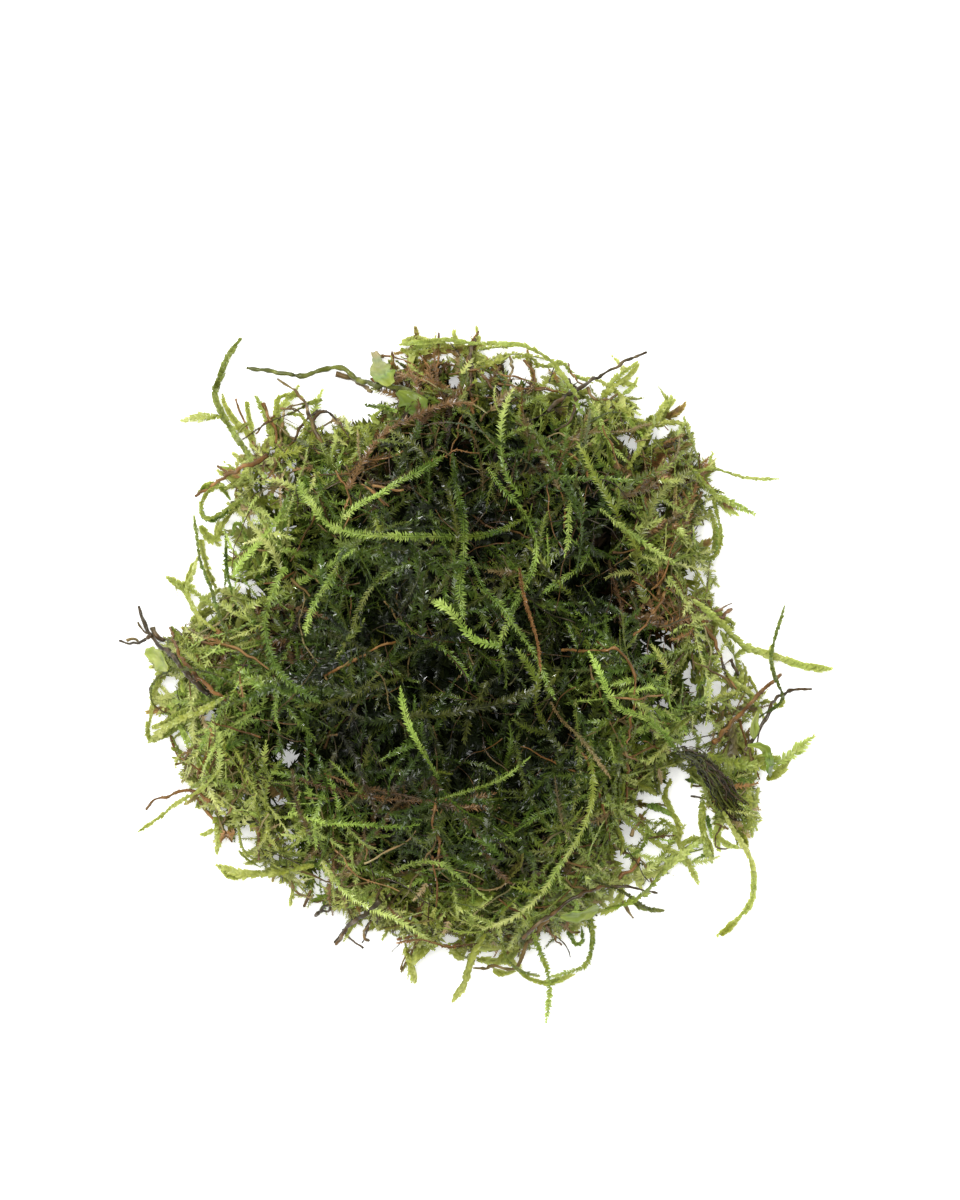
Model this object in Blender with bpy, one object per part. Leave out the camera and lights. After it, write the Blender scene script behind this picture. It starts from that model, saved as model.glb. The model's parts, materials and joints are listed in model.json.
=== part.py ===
"""Java moss: a loose clump of leafy shoots that lies on a flat surface.

The dense middle is one mass with shoots half sunk in its top and short shoot ends around
its rim. The shoots, stems and leaf scraps that stand out on it are objects of their own.
They are laid one after another, each on what already lies under it.

Places are in millimetres, +X to the right and +Y away in plan, +Z up. The finished clump
has its origin below the middle of its bounding box, at the level it rests on.
"""

import math
import random

import bmesh
import bpy
import numpy as np
from mathutils import Vector, noise
from mathutils.bvhtree import BVHTree

MM = 0.001
GAP = 0.3

# The mass: its centre in plan, its radii every 15 degrees from +X counter-clockwise, its
# height at the rim and what the crown adds to it.
MASS_CENTRE = Vector((-2.0, 3.0))
MASS_RADII = [40, 37.5, 39.5, 46, 44.5, 44, 44, 42, 38, 42, 39, 37,
              42, 42, 42.5, 41.5, 41, 41.5, 42.5, 43, 40.5, 36, 34, 42.5]
RIM_HEIGHT = 4.0
CROWN_HEIGHT = 25.0
BASE_SHARE = 0.93
SWELL_SPACING = 24.0
SWELL_HEIGHT = 6.0
LUMP_SPACING = 8.5
LUMP_HEIGHT = 3.2
MASS_SEGMENTS = 48
MASS_RINGS = 26

# How far the mass lies below the middles of the shoots that are half sunk in its top.
SHOOT_RISE = 1.2

# Dark pits between the shoots: x, y, radius, depth.
PITS = [(-4.3, 28.4, 3.4, 8), (1.9, 22, 4.4, 9), (6.4, 19, 3, 4), (-5.2, 1.5, 4.6, 9),
        (1.9, -6.3, 4, 9), (11.2, -8.1, 4, 9), (-1.1, -13, 4.8, 9), (-4.5, -9, 3.5, 5),
        (6.4, 0.3, 3.6, 6), (13.5, 4.4, 3.4, 6), (17.5, 12.5, 3.4, 7), (-22, -11, 4.5, 5),
        (24, 30, 3, 3), (-12, 8, 3.8, 5), (-23, 19, 3.6, 7), (6, -16.5, 4.5, 7),
        (-13, 30, 3.5, 5), (31, -0.5, 3, 5), (-32, -8.5, 3, 5), (-33, 20.5, 2.6, 5),
        (1, 6, 3.5, 5), (6.5, 30, 3.2, 4), (24, -18.5, 3, 5)]

# Each kind of strand: half width, half thickness, step along its route, the share to which
# every second point narrows, as a leafy shoot is toothed, and the sides of its section.
SECTIONS = {
    "frond": (1.05, 0.7, 2.7, 0.78, 4),
    "slim": (0.75, 0.55, 2.7, 0.8, 4),
    "ribbon": (1.1, 0.45, 3.0, 0.95, 4),
    "stem": (0.5, 0.5, 3.2, 1.0, 4),
    "twig": (0.65, 0.6, 2.8, 0.75, 4),
    "bundle": (2.7, 1.6, 3.0, 0.85, 4),
    "scrap": (2.0, 0.4, 1.6, 1.0, 4),
    "fused_arch": (1.1, 0.8, 3.8, 0.8, 3),
    "fused_end": (0.85, 0.65, 3.2, 0.8, 3),
}
TIP_SHARE = 0.3
ROOT_SHARE = 0.6
LEAF_END_SHARE = 0.25

COLOURS = {
    "green": (0.10, 0.20, 0.02),
    "bright": (0.32, 0.48, 0.05),
    "pale": (0.42, 0.52, 0.16),
    "olive": (0.16, 0.19, 0.04),
    "rust": (0.22, 0.09, 0.04),
    "tan": (0.30, 0.20, 0.10),
    "dark": (0.045, 0.038, 0.03),
}
MOSS_ROUGHNESS = 0.6

# Strands that are objects of their own: name, kind, colour and route in plan from the root
# to the tip, in the order in which they are laid.
STRANDS = [
    ("drooping_stem_top_left", "stem", "dark",
     [(-22, 34), (-23.5, 37.5), (-24.5, 40), (-26.5, 42), (-28.5, 43.5)]),
    ("long_stem_top_left", "twig", "dark",
     [(-7, 40), (-10.5, 42), (-14.5, 42.5), (-17, 43.5), (-18.5, 45), (-21, 45),
      (-24.5, 44), (-28, 44.5), (-33, 45)]),
    ("hooked_shoot_top_left", "slim", "olive",
     [(-30, 29), (-32.5, 32.5), (-35, 36), (-36.5, 38.5), (-37.5, 41.5), (-36.5, 44.5),
      (-35.5, 47), (-34, 49)]),
    ("side_shoot_top_left", "slim", "green", [(-37.7, 38), (-39.5, 38), (-42, 37.5)]),
    ("rust_stem_left_edge", "twig", "rust",
     [(-30, 32), (-33.5, 30.5), (-36.5, 29), (-40.5, 26.5)]),
    ("slim_shoot_left_edge", "slim", "olive",
     [(-35, 5.5), (-37, 10.5), (-38, 13.5), (-39.5, 17), (-40, 20), (-40.5, 23.5)]),
    ("curled_shoot_left", "slim", "pale",
     [(-32.5, 26.5), (-35, 25), (-37.5, 23.5), (-39, 23.5), (-39.5, 25), (-38.5, 27),
      (-36.5, 28)]),
    ("forked_shoot_left", "slim", "green",
     [(-37, 7), (-39.5, 9), (-41, 11.5), (-41.5, 13), (-40.5, 15.5), (-40, 17.5)]),
    ("dark_twig_left", "twig", "dark",
     [(-38, -2), (-41, 0.5), (-43.5, 3.5), (-46, 5.5), (-47.5, 8), (-48.5, 10.5)]),
    ("curled_twig_left", "twig", "dark",
     [(-46.5, 6.5), (-48, 5.5), (-49.5, 5), (-51.5, 5.5)]),
    ("orange_stem_left", "stem", "rust",
     [(-35.5, -3), (-38.5, -0.5), (-41, 2), (-43, 5), (-44, 7.5)]),
    ("wiry_loop_left", "stem", "olive",
     [(-34.5, -0.5), (-37.5, 1), (-41, 1.5), (-44.5, 1), (-46.5, -1), (-46.5, -3.5),
      (-44.5, -5.5)]),
    ("pointed_shoot_left", "frond", "green",
     [(-34, -1.5), (-38, -4), (-41.5, -5.5), (-44.5, -7), (-47, -9)]),
    ("brown_twig_left_low", "twig", "rust",
     [(-38, -17.5), (-41.5, -16), (-44.5, -17), (-46.5, -17.5), (-47.5, -19)]),
    ("slim_shoot_left_low", "slim", "pale",
     [(-36.5, -13), (-39.5, -16), (-43, -18), (-45.5, -20), (-48.5, -22)]),
    ("broad_frond_bottom_left", "frond", "pale",
     [(-23, -26.5), (-27, -27.5), (-30.5, -28), (-34, -28), (-37, -27)]),
    ("dark_twig_bottom", "twig", "dark",
     [(-13.5, -32), (-16, -34), (-18, -35.5), (-20, -38.5)]),
    ("rust_shoot_bottom", "slim", "rust",
     [(0.5, -38), (-4, -38.5), (-7.5, -37.5), (-11, -38)]),
    ("pale_frond_bottom", "ribbon", "pale",
     [(1.5, -36.5), (-0.5, -40.5), (-1.5, -44), (-3, -46.5)]),
    ("folded_tan_stem", "twig", "tan",
     [(10.5, -34.5), (7.5, -38.5), (6, -41.5), (3, -41.5), (0, -41.5)]),
    ("bottom_loop_right", "slim", "green",
     [(16, -32), (17, -35), (17, -39), (16, -41.5), (13.5, -42.5), (11.5, -43)]),
    ("bottom_loop_left", "slim", "green",
     [(4, -38), (5, -40.5), (7, -42), (9.5, -43)]),
    ("bottom_shoot", "slim", "bright",
     [(8, -34), (9, -38), (10.5, -41.5), (11, -45), (10.5, -49.5)]),
    ("dark_stem_bottom_right", "twig", "dark",
     [(7, -37), (9.5, -35), (12, -33), (15, -31), (18.5, -30), (22.5, -30), (26.5, -31)]),
    ("olive_shoot_bottom_right", "slim", "olive",
     [(17.5, -29), (21.5, -30.5), (25, -33), (27.5, -33.5)]),
    ("fibre_bundle_right", "bundle", "dark",
     [(29, -9.5), (32.5, -11.5), (35, -14.5), (37, -17.5), (39.5, -20)]),
    ("diagonal_shoot_right_low", "frond", "bright",
     [(19, -33), (24, -31), (27, -28), (30, -25.5), (33.5, -23)]),
    ("leafy_shoot_right_low", "slim", "green",
     [(33, -16.5), (33, -20), (33.5, -24), (34.5, -26.5)]),
    ("ribbon_hook_right_low", "ribbon", "pale",
     [(36, -19), (38, -22.5), (40, -26), (40.5, -29.5), (40, -32.5), (38, -35),
      (35.5, -37)]),
    ("feathery_shoot_right", "frond", "bright",
     [(33.5, -10.5), (37.5, -12), (41.5, -12.5), (45, -11.5), (49, -8.5)]),
    ("rust_stem_right", "stem", "rust",
     [(34.5, -9), (37.5, -6), (40, -3.5), (42, -1.5), (44.5, 0.5)]),
    ("curled_stem_right", "stem", "dark",
     [(39, -10.5), (41, -7.5), (43, -4), (44, -2.5), (46.5, -1.5), (49, -1.5)]),
    ("long_pale_frond_right", "ribbon", "pale",
     [(31.5, 11.5), (35.5, 8), (38.5, 5), (43, 3.5), (47.5, 2), (51.5, 1.5)]),
    ("thin_stem_right", "stem", "olive",
     [(41, -5.5), (44, -3.5), (44.5, -2), (43.5, 0.5), (43, 3), (43.5, 5.5), (45, 10.5)]),
    ("thin_shoot_right_top", "slim", "green",
     [(30.5, 29.5), (34.5, 30.5), (38, 29.5), (41, 29), (44, 29)]),
    ("leafy_tip_right_top", "slim", "bright",
     [(29.5, 32.5), (32.5, 29), (34.5, 27), (37.5, 25.5), (40.5, 24)]),
    ("bent_shoot_right_top", "slim", "green",
     [(34.5, 26), (35.5, 22.5), (35.5, 19), (34, 17.5), (32, 18.5), (31.5, 22)]),
    ("dark_twig_top_right", "twig", "dark",
     [(10.5, 38.5), (14.5, 41.5), (18.5, 44), (22, 46), (25, 47.5)]),
    ("long_shoot_top", "slim", "pale",
     [(15, 40.5), (11, 46), (7.5, 48), (4, 48.5), (0, 48.5), (-3.5, 49), (-10.5, 48.5)]),
    ("arched_shoot_upper", "frond", "bright",
     [(7, 23), (4, 21.5), (-0.5, 20.5), (-6.5, 20.5), (-12, 20.5), (-17.5, 21),
      (-21, 22.5), (-23, 25), (-24.5, 27), (-25, 28.5)]),
    ("spray_upper_left", "frond", "green",
     [(-18.5, 23), (-16.5, 25), (-13.5, 26.5), (-10.5, 28.5), (-7.5, 30), (-4.5, 32)]),
    ("curved_shoot_left", "frond", "green",
     [(-16, 20), (-18.5, 18.5), (-20, 15), (-22, 12), (-23.5, 9), (-24, 6.5)]),
    ("central_shoot", "frond", "green",
     [(-3, 32.5), (-2.5, 28), (-1.5, 23), (-1.5, 17.5), (-2, 13), (-1.5, 9)]),
    ("bright_tip_centre", "frond", "bright",
     [(4, 5), (1, 5.5), (-1, 7), (-2.5, 9), (-4, 10.5), (-6, 11.5)]),
    ("arched_shoot_centre", "slim", "green",
     [(2, 30.5), (4, 27.5), (6.5, 25), (8, 22.5), (9, 19.5), (8.5, 16), (5.5, 10.5)]),
    ("diagonal_shoot_centre", "slim", "green",
     [(-0.5, 17.5), (1.5, 13), (4, 10.5), (6, 7.5), (8.5, 4), (11.5, -2.5)]),
    ("rust_stem_centre", "twig", "rust",
     [(6.5, 16), (7, 12.5), (8, 9), (9, 5.5), (9.5, 1.5)]),
    ("tan_stem_centre", "slim", "tan",
     [(11, -3), (12.5, -5.5), (15, -8), (17, -10.5), (19.5, -14)]),
    ("bright_shoot_right", "frond", "bright",
     [(29, -10), (26.5, -7), (24, -5), (21, -4), (19, -1.5), (18, 1), (16.5, 4)]),
    ("bright_shoot_left_low", "slim", "bright",
     [(-5, -14), (-7, -10.5), (-9, -7), (-10, -4), (-10.5, -1)]),
    ("thin_shoot_low_centre", "stem", "bright",
     [(-5, -17), (-1.5, -16), (2, -15), (5, -13.5), (8, -11)]),
    ("pale_shoot_upper_right", "slim", "bright",
     [(18, 24.5), (21, 22), (24, 20), (26, 18.5), (28.5, 17)]),
    ("low_arch_shoot", "slim", "bright",
     [(-11.5, -27.5), (-8, -26), (-5, -26), (-1.5, -28.5), (2, -31.5)]),
    ("leaf_left", "scrap", "pale", [(-44, 1.5), (-46, 3.5), (-47.5, 4)]),
    ("leaf_top", "scrap", "pale", [(-12, 42.5), (-13.5, 44.5), (-14.5, 47.5)]),
    ("leaf_top_folded", "scrap", "olive", [(-11, 41.5), (-9, 40), (-7.5, 38)]),
    ("leaf_bottom", "scrap", "bright", [(12.5, -34), (15, -34), (18, -33)]),
    ("leaf_right_blade", "scrap", "pale", [(39.5, -9.5), (42, -10), (43, -14)]),
    ("leaf_right_round", "scrap", "bright", [(40.5, -8.5), (40.5, -6.5), (41, -4.5)]),
]

# Shoot ends that grow out of the mass at its rim, fused to it.
RIM_SHOOTS = [
    [(-28, 28), (-31.5, 33), (-33, 36.5), (-34.5, 40.5)],
    [(-26, 30), (-29, 34.5), (-30, 37.5), (-31.5, 40.5)],
    [(-28, 33), (-27.5, 38.5), (-25, 39.5), (-22, 40.5)],
    [(-26, 34), (-24, 37.5), (-21.5, 38.5), (-20, 37.5), (-18, 34.5)],
    [(-29, 33), (-29, 37), (-27, 40), (-25.5, 42)],
    [(-8, 40), (-9, 44.5), (-8.5, 47.5), (-4.5, 48.5)],
    [(-37, 10), (-41.5, 13), (-44, 14.5)],
    [(-36, -13.5), (-41.5, -12), (-44, -8)],
    [(-32, -14), (-36, -20.5), (-37, -25)],
    [(-16, -28), (-20.5, -33), (-23, -34.5)],
    [(-12, -31), (-15, -35), (-16, -38.5)],
    [(-5.5, -33), (-8.5, -40), (-9, -44)],
    [(-4.5, -34), (-8, -38), (-10.5, -42.5)],
    [(17, -29), (21.5, -29), (24, -26)],
    [(22, -10), (22, -17), (21, -21)],
    [(19, -18), (25, -23), (30.5, -26.5), (32.5, -29.5)],
    [(31, 6), (33.5, 12), (34, 17)],
    [(28, 7), (33.5, 9), (37.5, 10.5)],
    [(34, 0), (38, -1), (40.5, -3.5), (42, -6)],
    [(20, -24), (24.5, -27), (26, -30)],
    [(16, 36), (20, 42.5), (23.5, 45.5)],
    [(22, 30), (27, 38.5), (28.5, 40.5)],
    [(31, 27), (32.5, 31), (31.5, 34), (30.5, 37.5)],
    [(0, 38), (-1, 45), (0.5, 50)],
    [(-5, 40), (-5.2, 45), (-5, 50)],
]

# Shoots that arch over the top of the mass, fused to it at both ends.
ARCHED_SHOOTS = [
    [(7, 12), (5.5, 9.5), (4.5, 7), (3.5, 4.5)],
    [(14.5, -9.5), (17, -13), (18.5, -18), (19.5, -23.5)],
    [(14, 26), (13.5, 23), (13.5, 20), (13, 17.5)],
    [(10, 29), (14, 28.5), (19, 28.5), (24, 28)],
    [(17, 19), (15, 16), (12.5, 14), (9.5, 12)],
    [(-5.5, -17.5), (-6, -20.5), (-5, -23.5), (-5, -27)],
    [(13.5, -18), (9.5, -19.5), (6.5, -21.5), (1, -25)],
    [(14.5, -3), (15, -9), (15, -14.5), (14, -19.5)],
    [(32.5, 28.5), (32, 24), (30.5, 20.5), (27.5, 17.5), (25, 14.5)],
    [(28, 13), (26, 9.5), (23, 6)],
    [(12.5, 4), (17, 4), (20.5, 4), (22.5, 1.5), (23, -1.5), (22, -9.5)],
    [(16.5, 40), (18, 37), (19.5, 33.5), (22, 31)],
    [(-11, 8.5), (-8, 6), (-4, 4), (-0.5, 0)],
    [(-21, 0.5), (-16.5, 3), (-13.5, 4.5), (-10.5, 5.5)],
    [(-11.5, 16), (-14.5, 13), (-16.5, 9.5), (-17.5, 6), (-19.5, 3)],
]

# More of both, scattered over the mass and around its rim.
TANGLE_SEED = 4
TANGLE_COUNT = 58
FRINGE_COUNT = 26
FRINGE_ROOT = 3.5

# Spacing along and across a strand at which it is held clear of what it lies on.
LAY_ALONG = 0.15
LAY_ACROSS = 0.125


def new_collection(name):
    collection = bpy.data.collections.new(name)
    bpy.context.scene.collection.children.link(collection)
    return collection


def add_material(obj, colour, roughness=MOSS_ROUGHNESS):
    material = bpy.data.materials.new(obj.name)
    material.use_nodes = True
    shader = material.node_tree.nodes["Principled BSDF"]
    shader.inputs["Base Color"].default_value = (*colour, 1.0)
    shader.inputs["Roughness"].default_value = roughness
    material.diffuse_color = (*colour, 1.0)
    obj.data.materials.clear()
    obj.data.materials.append(material)


# --- the mass -----------------------------------------------------------------------------

def direction(angle):
    """The unit vector in plan at an angle from +X."""
    return Vector((math.cos(angle), math.sin(angle)))


def mass_radius(angle):
    """Radius of the mass in plan at an angle, eased between the listed radii."""
    count = len(MASS_RADII)
    turn = angle / math.tau * count
    before = math.floor(turn)
    share = turn - before
    share = share * share * (3 - 2 * share)
    near, far = MASS_RADII[before % count], MASS_RADII[(before + 1) % count]
    return near + (far - near) * share


def mass_height(x, y, lowered=0.0):
    """Height of the top of the mass over a point in plan, lowered away from its rim."""
    offset = Vector((x, y)) - MASS_CENTRE
    share = offset.length / mass_radius(math.atan2(offset.y, offset.x))
    dome = max(0.0, 1 - share ** 2.2) ** 0.8
    swell = SWELL_HEIGHT * noise.noise(Vector((x, y, 30)) / SWELL_SPACING)
    lump = LUMP_HEIGHT * noise.noise(Vector((x, y, 0)) / LUMP_SPACING)
    height = RIM_HEIGHT + CROWN_HEIGHT * dome + (swell + lump - lowered) * min(1.0, 2 * dome)
    for pit_x, pit_y, radius, depth in PITS:
        height -= depth * math.exp(-((x - pit_x) ** 2 + (y - pit_y) ** 2) / radius ** 2)
    return height


def add_mass(collection):
    """A sphere whose upper half is drawn out to the mass and whose lower half is its base."""
    shape = bmesh.new()
    bmesh.ops.create_uvsphere(shape, u_segments=MASS_SEGMENTS, v_segments=MASS_RINGS, radius=1)
    for vert in shape.verts:
        upper = vert.co.z > -1e-4
        angle = math.atan2(vert.co.y, vert.co.x)
        share = vert.co.xy.length * (1.0 if upper else BASE_SHARE)
        spot = MASS_CENTRE + share * mass_radius(angle) * direction(angle)
        height = mass_height(*spot, SHOOT_RISE) if upper else 0.0
        vert.co = Vector((spot.x, spot.y, height)) * MM
    base = [face for face in shape.faces if max(vert.co.z for vert in face.verts) < 1e-7]
    bmesh.ops.dissolve_faces(shape, faces=base)
    mesh = bpy.data.meshes.new("moss_tangle")
    shape.to_mesh(mesh)
    shape.free()
    mass = bpy.data.objects.new("moss_tangle", mesh)
    collection.objects.link(mass)
    return mass


# --- strands ------------------------------------------------------------------------------

def smooth_route(points, step):
    """Points about a step apart on a smooth curve through the route's points."""
    knots = [Vector(point) for point in points]
    padded = [2 * knots[0] - knots[1], *knots, 2 * knots[-1] - knots[-2]]
    route = []
    for before, start, end, after in zip(padded, padded[1:], padded[2:], padded[3:]):
        count = max(1, round((end - start).length / step))
        for index in range(count):
            t = index / count
            route.append(0.5 * (2 * start + (end - before) * t
                                + (2 * before - 5 * start + 4 * end - after) * t ** 2
                                + (3 * start - before - 3 * end + after) * t ** 3))
    return route + [knots[-1]]


def add_profile(kind, collection):
    """The flattened section of a kind of strand, as a guide curve with one corner up."""
    half_width, half_height, _, _, sides = SECTIONS[kind]
    curve = bpy.data.curves.new(f"{kind}_section", "CURVE")
    spline = curve.splines.new("POLY")
    spline.points.add(sides - 1)
    for index, point in enumerate(spline.points):
        turn = math.tau * index / sides
        point.co = (half_width * math.sin(turn) * MM, half_height * math.cos(turn) * MM, 0, 1)
    spline.use_cyclic_u = True
    profile = bpy.data.objects.new(curve.name, curve)
    profile.hide_render = True
    profile.display_type = "WIRE"
    collection.objects.link(profile)
    return profile


def add_strand(name, kind, points, profiles, collection):
    """A strand through 3-D points in mm, toothed along its length and tapered to its tip."""
    curve = bpy.data.curves.new(name, "CURVE")
    curve.dimensions = "3D"
    curve.twist_mode = "Z_UP"
    curve.bevel_mode = "OBJECT"
    curve.bevel_object = profiles[kind]
    curve.use_fill_caps = True
    curve.resolution_u = 1
    curve.render_resolution_u = 0
    spline = curve.splines.new("POLY")
    spline.points.add(len(points) - 1)
    last = len(points) - 1
    for index, (point, place) in enumerate(zip(spline.points, points)):
        point.co = (*(place * MM), 1)
        point.radius = strand_radius(kind, index, last)
    strand = bpy.data.objects.new(name, curve)
    collection.objects.link(strand)
    return strand


def strand_radius(kind, index, last):
    """Share of a strand's full width at one of its points."""
    if kind == "scrap":
        return max(LEAF_END_SHARE, math.sin(math.pi * index / last))
    end = TIP_SHARE if index == last else ROOT_SHARE if index == 0 else 1.0
    narrowing = SECTIONS[kind][3]
    return end * (narrowing if index % 2 else 1.0)


def strand_mesh(strand):
    """Replace a strand's curve by its closed mesh, so that it can be joined to another."""
    graph = bpy.context.evaluated_depsgraph_get()
    mesh = bpy.data.meshes.new_from_object(strand.evaluated_get(graph))
    shape = bmesh.new()
    shape.from_mesh(mesh)
    bmesh.ops.remove_doubles(shape, verts=shape.verts, dist=1e-6)
    shape.to_mesh(mesh)
    shape.free()
    solid = bpy.data.objects.new(strand.name, mesh)
    solid.matrix_world = strand.matrix_world
    solid.hide_render = True
    solid.display_type = "WIRE"
    strand.users_collection[0].objects.link(solid)
    bpy.data.objects.remove(strand)
    return solid


# --- shoots fused to the mass -------------------------------------------------------------

def arch_heights(route, chance):
    """Points of a shoot that leaves the mass, arches over its surface and dives back in."""
    rise = chance.uniform(1.2, 3.2)
    root = SECTIONS["fused_arch"][1] + SHOOT_RISE + 0.4
    last = len(route) - 1
    return [Vector((spot.x, spot.y, mass_height(*spot) - root
                    + (rise + root) * math.sin(math.pi * index / last) ** 0.6))
            for index, spot in enumerate(route)]


def rim_heights(route, chance):
    """Points of a shoot end that leaves the side of the mass and droops outward."""
    start = chance.uniform(2.0, 7.5)
    end = chance.uniform(0.9, start)
    last = len(route) - 1
    return [Vector((spot.x, spot.y, start + (end - start) * index / last))
            for index, spot in enumerate(route)]


def inside_rim(spot):
    offset = spot - MASS_CENTRE
    return offset.length < 0.98 * mass_radius(math.atan2(offset.y, offset.x))


def random_tangle(chance):
    """A short bent route somewhere on the top of the mass."""
    angle = chance.uniform(0, math.tau)
    share = math.sqrt(chance.uniform(0.08, 0.98))
    spot = MASS_CENTRE + share * mass_radius(angle) * direction(angle)
    heading = angle + math.pi / 2 + chance.uniform(-1.2, 1.2)
    bend = chance.uniform(-0.28, 0.28)
    route = [spot]
    for _ in range(chance.choice((3, 4, 5))):
        heading += bend
        spot = spot + SECTIONS["fused_arch"][2] * direction(heading)
        route.append(spot)
    return [spot for spot in route if inside_rim(spot)]


def random_fringe(chance, index):
    """A short bent route that starts inside the rim and ends just outside it."""
    angle = math.tau * (index + chance.uniform(-0.3, 0.3)) / FRINGE_COUNT
    heading = angle + chance.uniform(-0.9, 0.9)
    spot = MASS_CENTRE + (mass_radius(angle) - FRINGE_ROOT) * direction(angle)
    route = [spot]
    for _ in range(3):
        heading += chance.uniform(-0.4, 0.4)
        spot = spot + chance.uniform(1.5, 2.6) * direction(heading)
        route.append(spot)
    return route


def fuse_shoots(mass, profiles, collection):
    """Join the sunk shoots and the rim shoots to the mass."""
    chance = random.Random(TANGLE_SEED)
    arch_step = SECTIONS["fused_arch"][2]
    end_step = SECTIONS["fused_end"][2]
    shoots = []
    for route in RIM_SHOOTS:
        shoots.append(("fused_end", rim_heights(smooth_route(route, end_step), chance)))
    for index in range(FRINGE_COUNT):
        shoots.append(("fused_end", rim_heights(random_fringe(chance, index), chance)))
    for route in ARCHED_SHOOTS:
        shoots.append(("fused_arch", arch_heights(smooth_route(route, arch_step), chance)))
    for _ in range(TANGLE_COUNT):
        route = random_tangle(chance)
        if len(route) > 3:
            shoots.append(("fused_arch", arch_heights(route, chance)))
    for number, (kind, points) in enumerate(shoots):
        strand_mesh(add_strand(f"fused_shoot_{number}", kind, points, profiles, collection))
    union = mass.modifiers.new("fused shoots", "BOOLEAN")
    union.operation = "UNION"
    union.solver = "EXACT"
    union.operand_type = "COLLECTION"
    union.collection = collection
    keep_outer_shell(mass)


def keep_outer_shell(mass):
    """Apply the union and drop the specks of space sealed in where fused shoots cross."""
    graph = bpy.context.evaluated_depsgraph_get()
    mesh = bpy.data.meshes.new_from_object(mass.evaluated_get(graph))
    shape = bmesh.new()
    shape.from_mesh(mesh)
    bmesh.ops.triangulate(shape, faces=shape.faces)
    waiting = set(shape.faces)
    shells = []
    while waiting:
        shell = [waiting.pop()]
        for face in shell:
            linked = {other for edge in face.edges if len(edge.link_faces) == 2
                      for other in edge.link_faces} & waiting
            waiting -= linked
            shell.extend(linked)
        shells.append(shell)
    shells.sort(key=len)
    specks = [face for shell in shells[:-1] for face in shell]
    bmesh.ops.delete(shape, geom=specks, context="FACES")
    shape.to_mesh(mesh)
    shape.free()
    mass.modifiers.clear()
    mass.data = mesh


# --- laying strands on what is under them -------------------------------------------------

class Ground:
    """Heights of everything laid so far, in mm, on a square grid of cells."""

    REACH = 58.0
    CELL = 0.25

    def __init__(self, mass):
        axis = np.arange(-self.REACH, self.REACH, self.CELL)
        tree = BVHTree.FromObject(mass, bpy.context.evaluated_depsgraph_get())
        self.height = np.zeros((len(axis), len(axis)))
        down = Vector((0, 0, -1))
        for row, y in enumerate(axis):
            for column, x in enumerate(axis):
                hit = tree.ray_cast(Vector((x, y, self.REACH)) * MM, down)[0]
                if hit:
                    self.height[row, column] = hit.z / MM

    def cells(self, x, y):
        """Rows and columns of the cells below and left of places in plan."""
        return (((y + self.REACH) / self.CELL).astype(int),
                ((x + self.REACH) / self.CELL).astype(int))

    def highest(self, x, y):
        """The highest of the four cells around each place."""
        row, column = self.cells(x, y)
        return np.maximum.reduce([self.height[row, column], self.height[row + 1, column],
                                  self.height[row, column + 1],
                                  self.height[row + 1, column + 1]])

    def raise_to(self, x, y, tops):
        """Mark the four cells around each place as filled up to its top."""
        row, column = self.cells(x, y)
        for down, right in ((0, 0), (0, 1), (1, 0), (1, 1)):
            np.maximum.at(self.height, (row + down, column + right), tops)


def strip_across(x, y, half_width):
    """Places across a route at each of its samples, and their shares of the half width."""
    slope_x, slope_y = np.gradient(x), np.gradient(y)
    length = np.hypot(slope_x, slope_y)
    offsets = np.arange(-half_width, half_width + LAY_ACROSS / 2, LAY_ACROSS)
    return (x[:, None] - slope_y[:, None] / length[:, None] * offsets,
            y[:, None] + slope_x[:, None] / length[:, None] * offsets,
            np.abs(offsets) / half_width)


def lay_strand(ground, route, kind):
    """Heights for a route, so that the strand rests on the ground and bridges its pits."""
    half_width, half_height = SECTIONS[kind][:2]
    steps = [(end - start).length for start, end in zip(route, route[1:])]
    lengths = np.cumsum([0.0, *steps])
    samples = np.arange(0, lengths[-1] + LAY_ALONG, LAY_ALONG)
    x = np.interp(samples, lengths, [point.x for point in route])
    y = np.interp(samples, lengths, [point.y for point in route])

    across_x, across_y, share = strip_across(x, y, half_width + GAP)
    under = ground.highest(across_x, across_y) + (half_height + GAP) * (1 - share)
    need = np.maximum(under.max(axis=1), half_height + GAP)

    heights = np.interp(lengths, samples, need)
    for _ in range(2):
        heights[1:-1] = np.maximum(heights[1:-1], 0.5 * (heights[:-2] + heights[2:]))
    piece = np.clip(np.searchsorted(lengths, samples, side="right") - 1, 0, len(route) - 2)
    for _ in range(12):
        lack = need - np.interp(samples, lengths, heights)
        if lack.max() <= 0:
            break
        raised = heights.copy()
        np.maximum.at(raised, piece, heights[piece] + lack)
        np.maximum.at(raised, piece + 1, heights[piece + 1] + lack)
        heights = raised
    heights -= (np.interp(samples, lengths, heights) - need).min()

    across_x, across_y, share = strip_across(x, y, half_width)
    tops = np.interp(samples, lengths, heights)[:, None] + half_height * (1 - share)
    ground.raise_to(across_x, across_y, tops)
    return [Vector((point.x, point.y, height)) for point, height in zip(route, heights)]


# --- the clump ----------------------------------------------------------------------------

def bounds(objects):
    """The corners of the box around the objects as evaluated, in metres."""
    graph = bpy.context.evaluated_depsgraph_get()
    corners = []
    for obj in objects:
        mesh = obj.evaluated_get(graph).to_mesh()
        places = np.empty(len(mesh.vertices) * 3)
        mesh.vertices.foreach_get("co", places)
        corners.append(places.reshape(-1, 3))
        obj.evaluated_get(graph).to_mesh_clear()
    corners = np.concatenate(corners)
    return Vector(corners.min(axis=0)), Vector(corners.max(axis=0))


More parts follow.
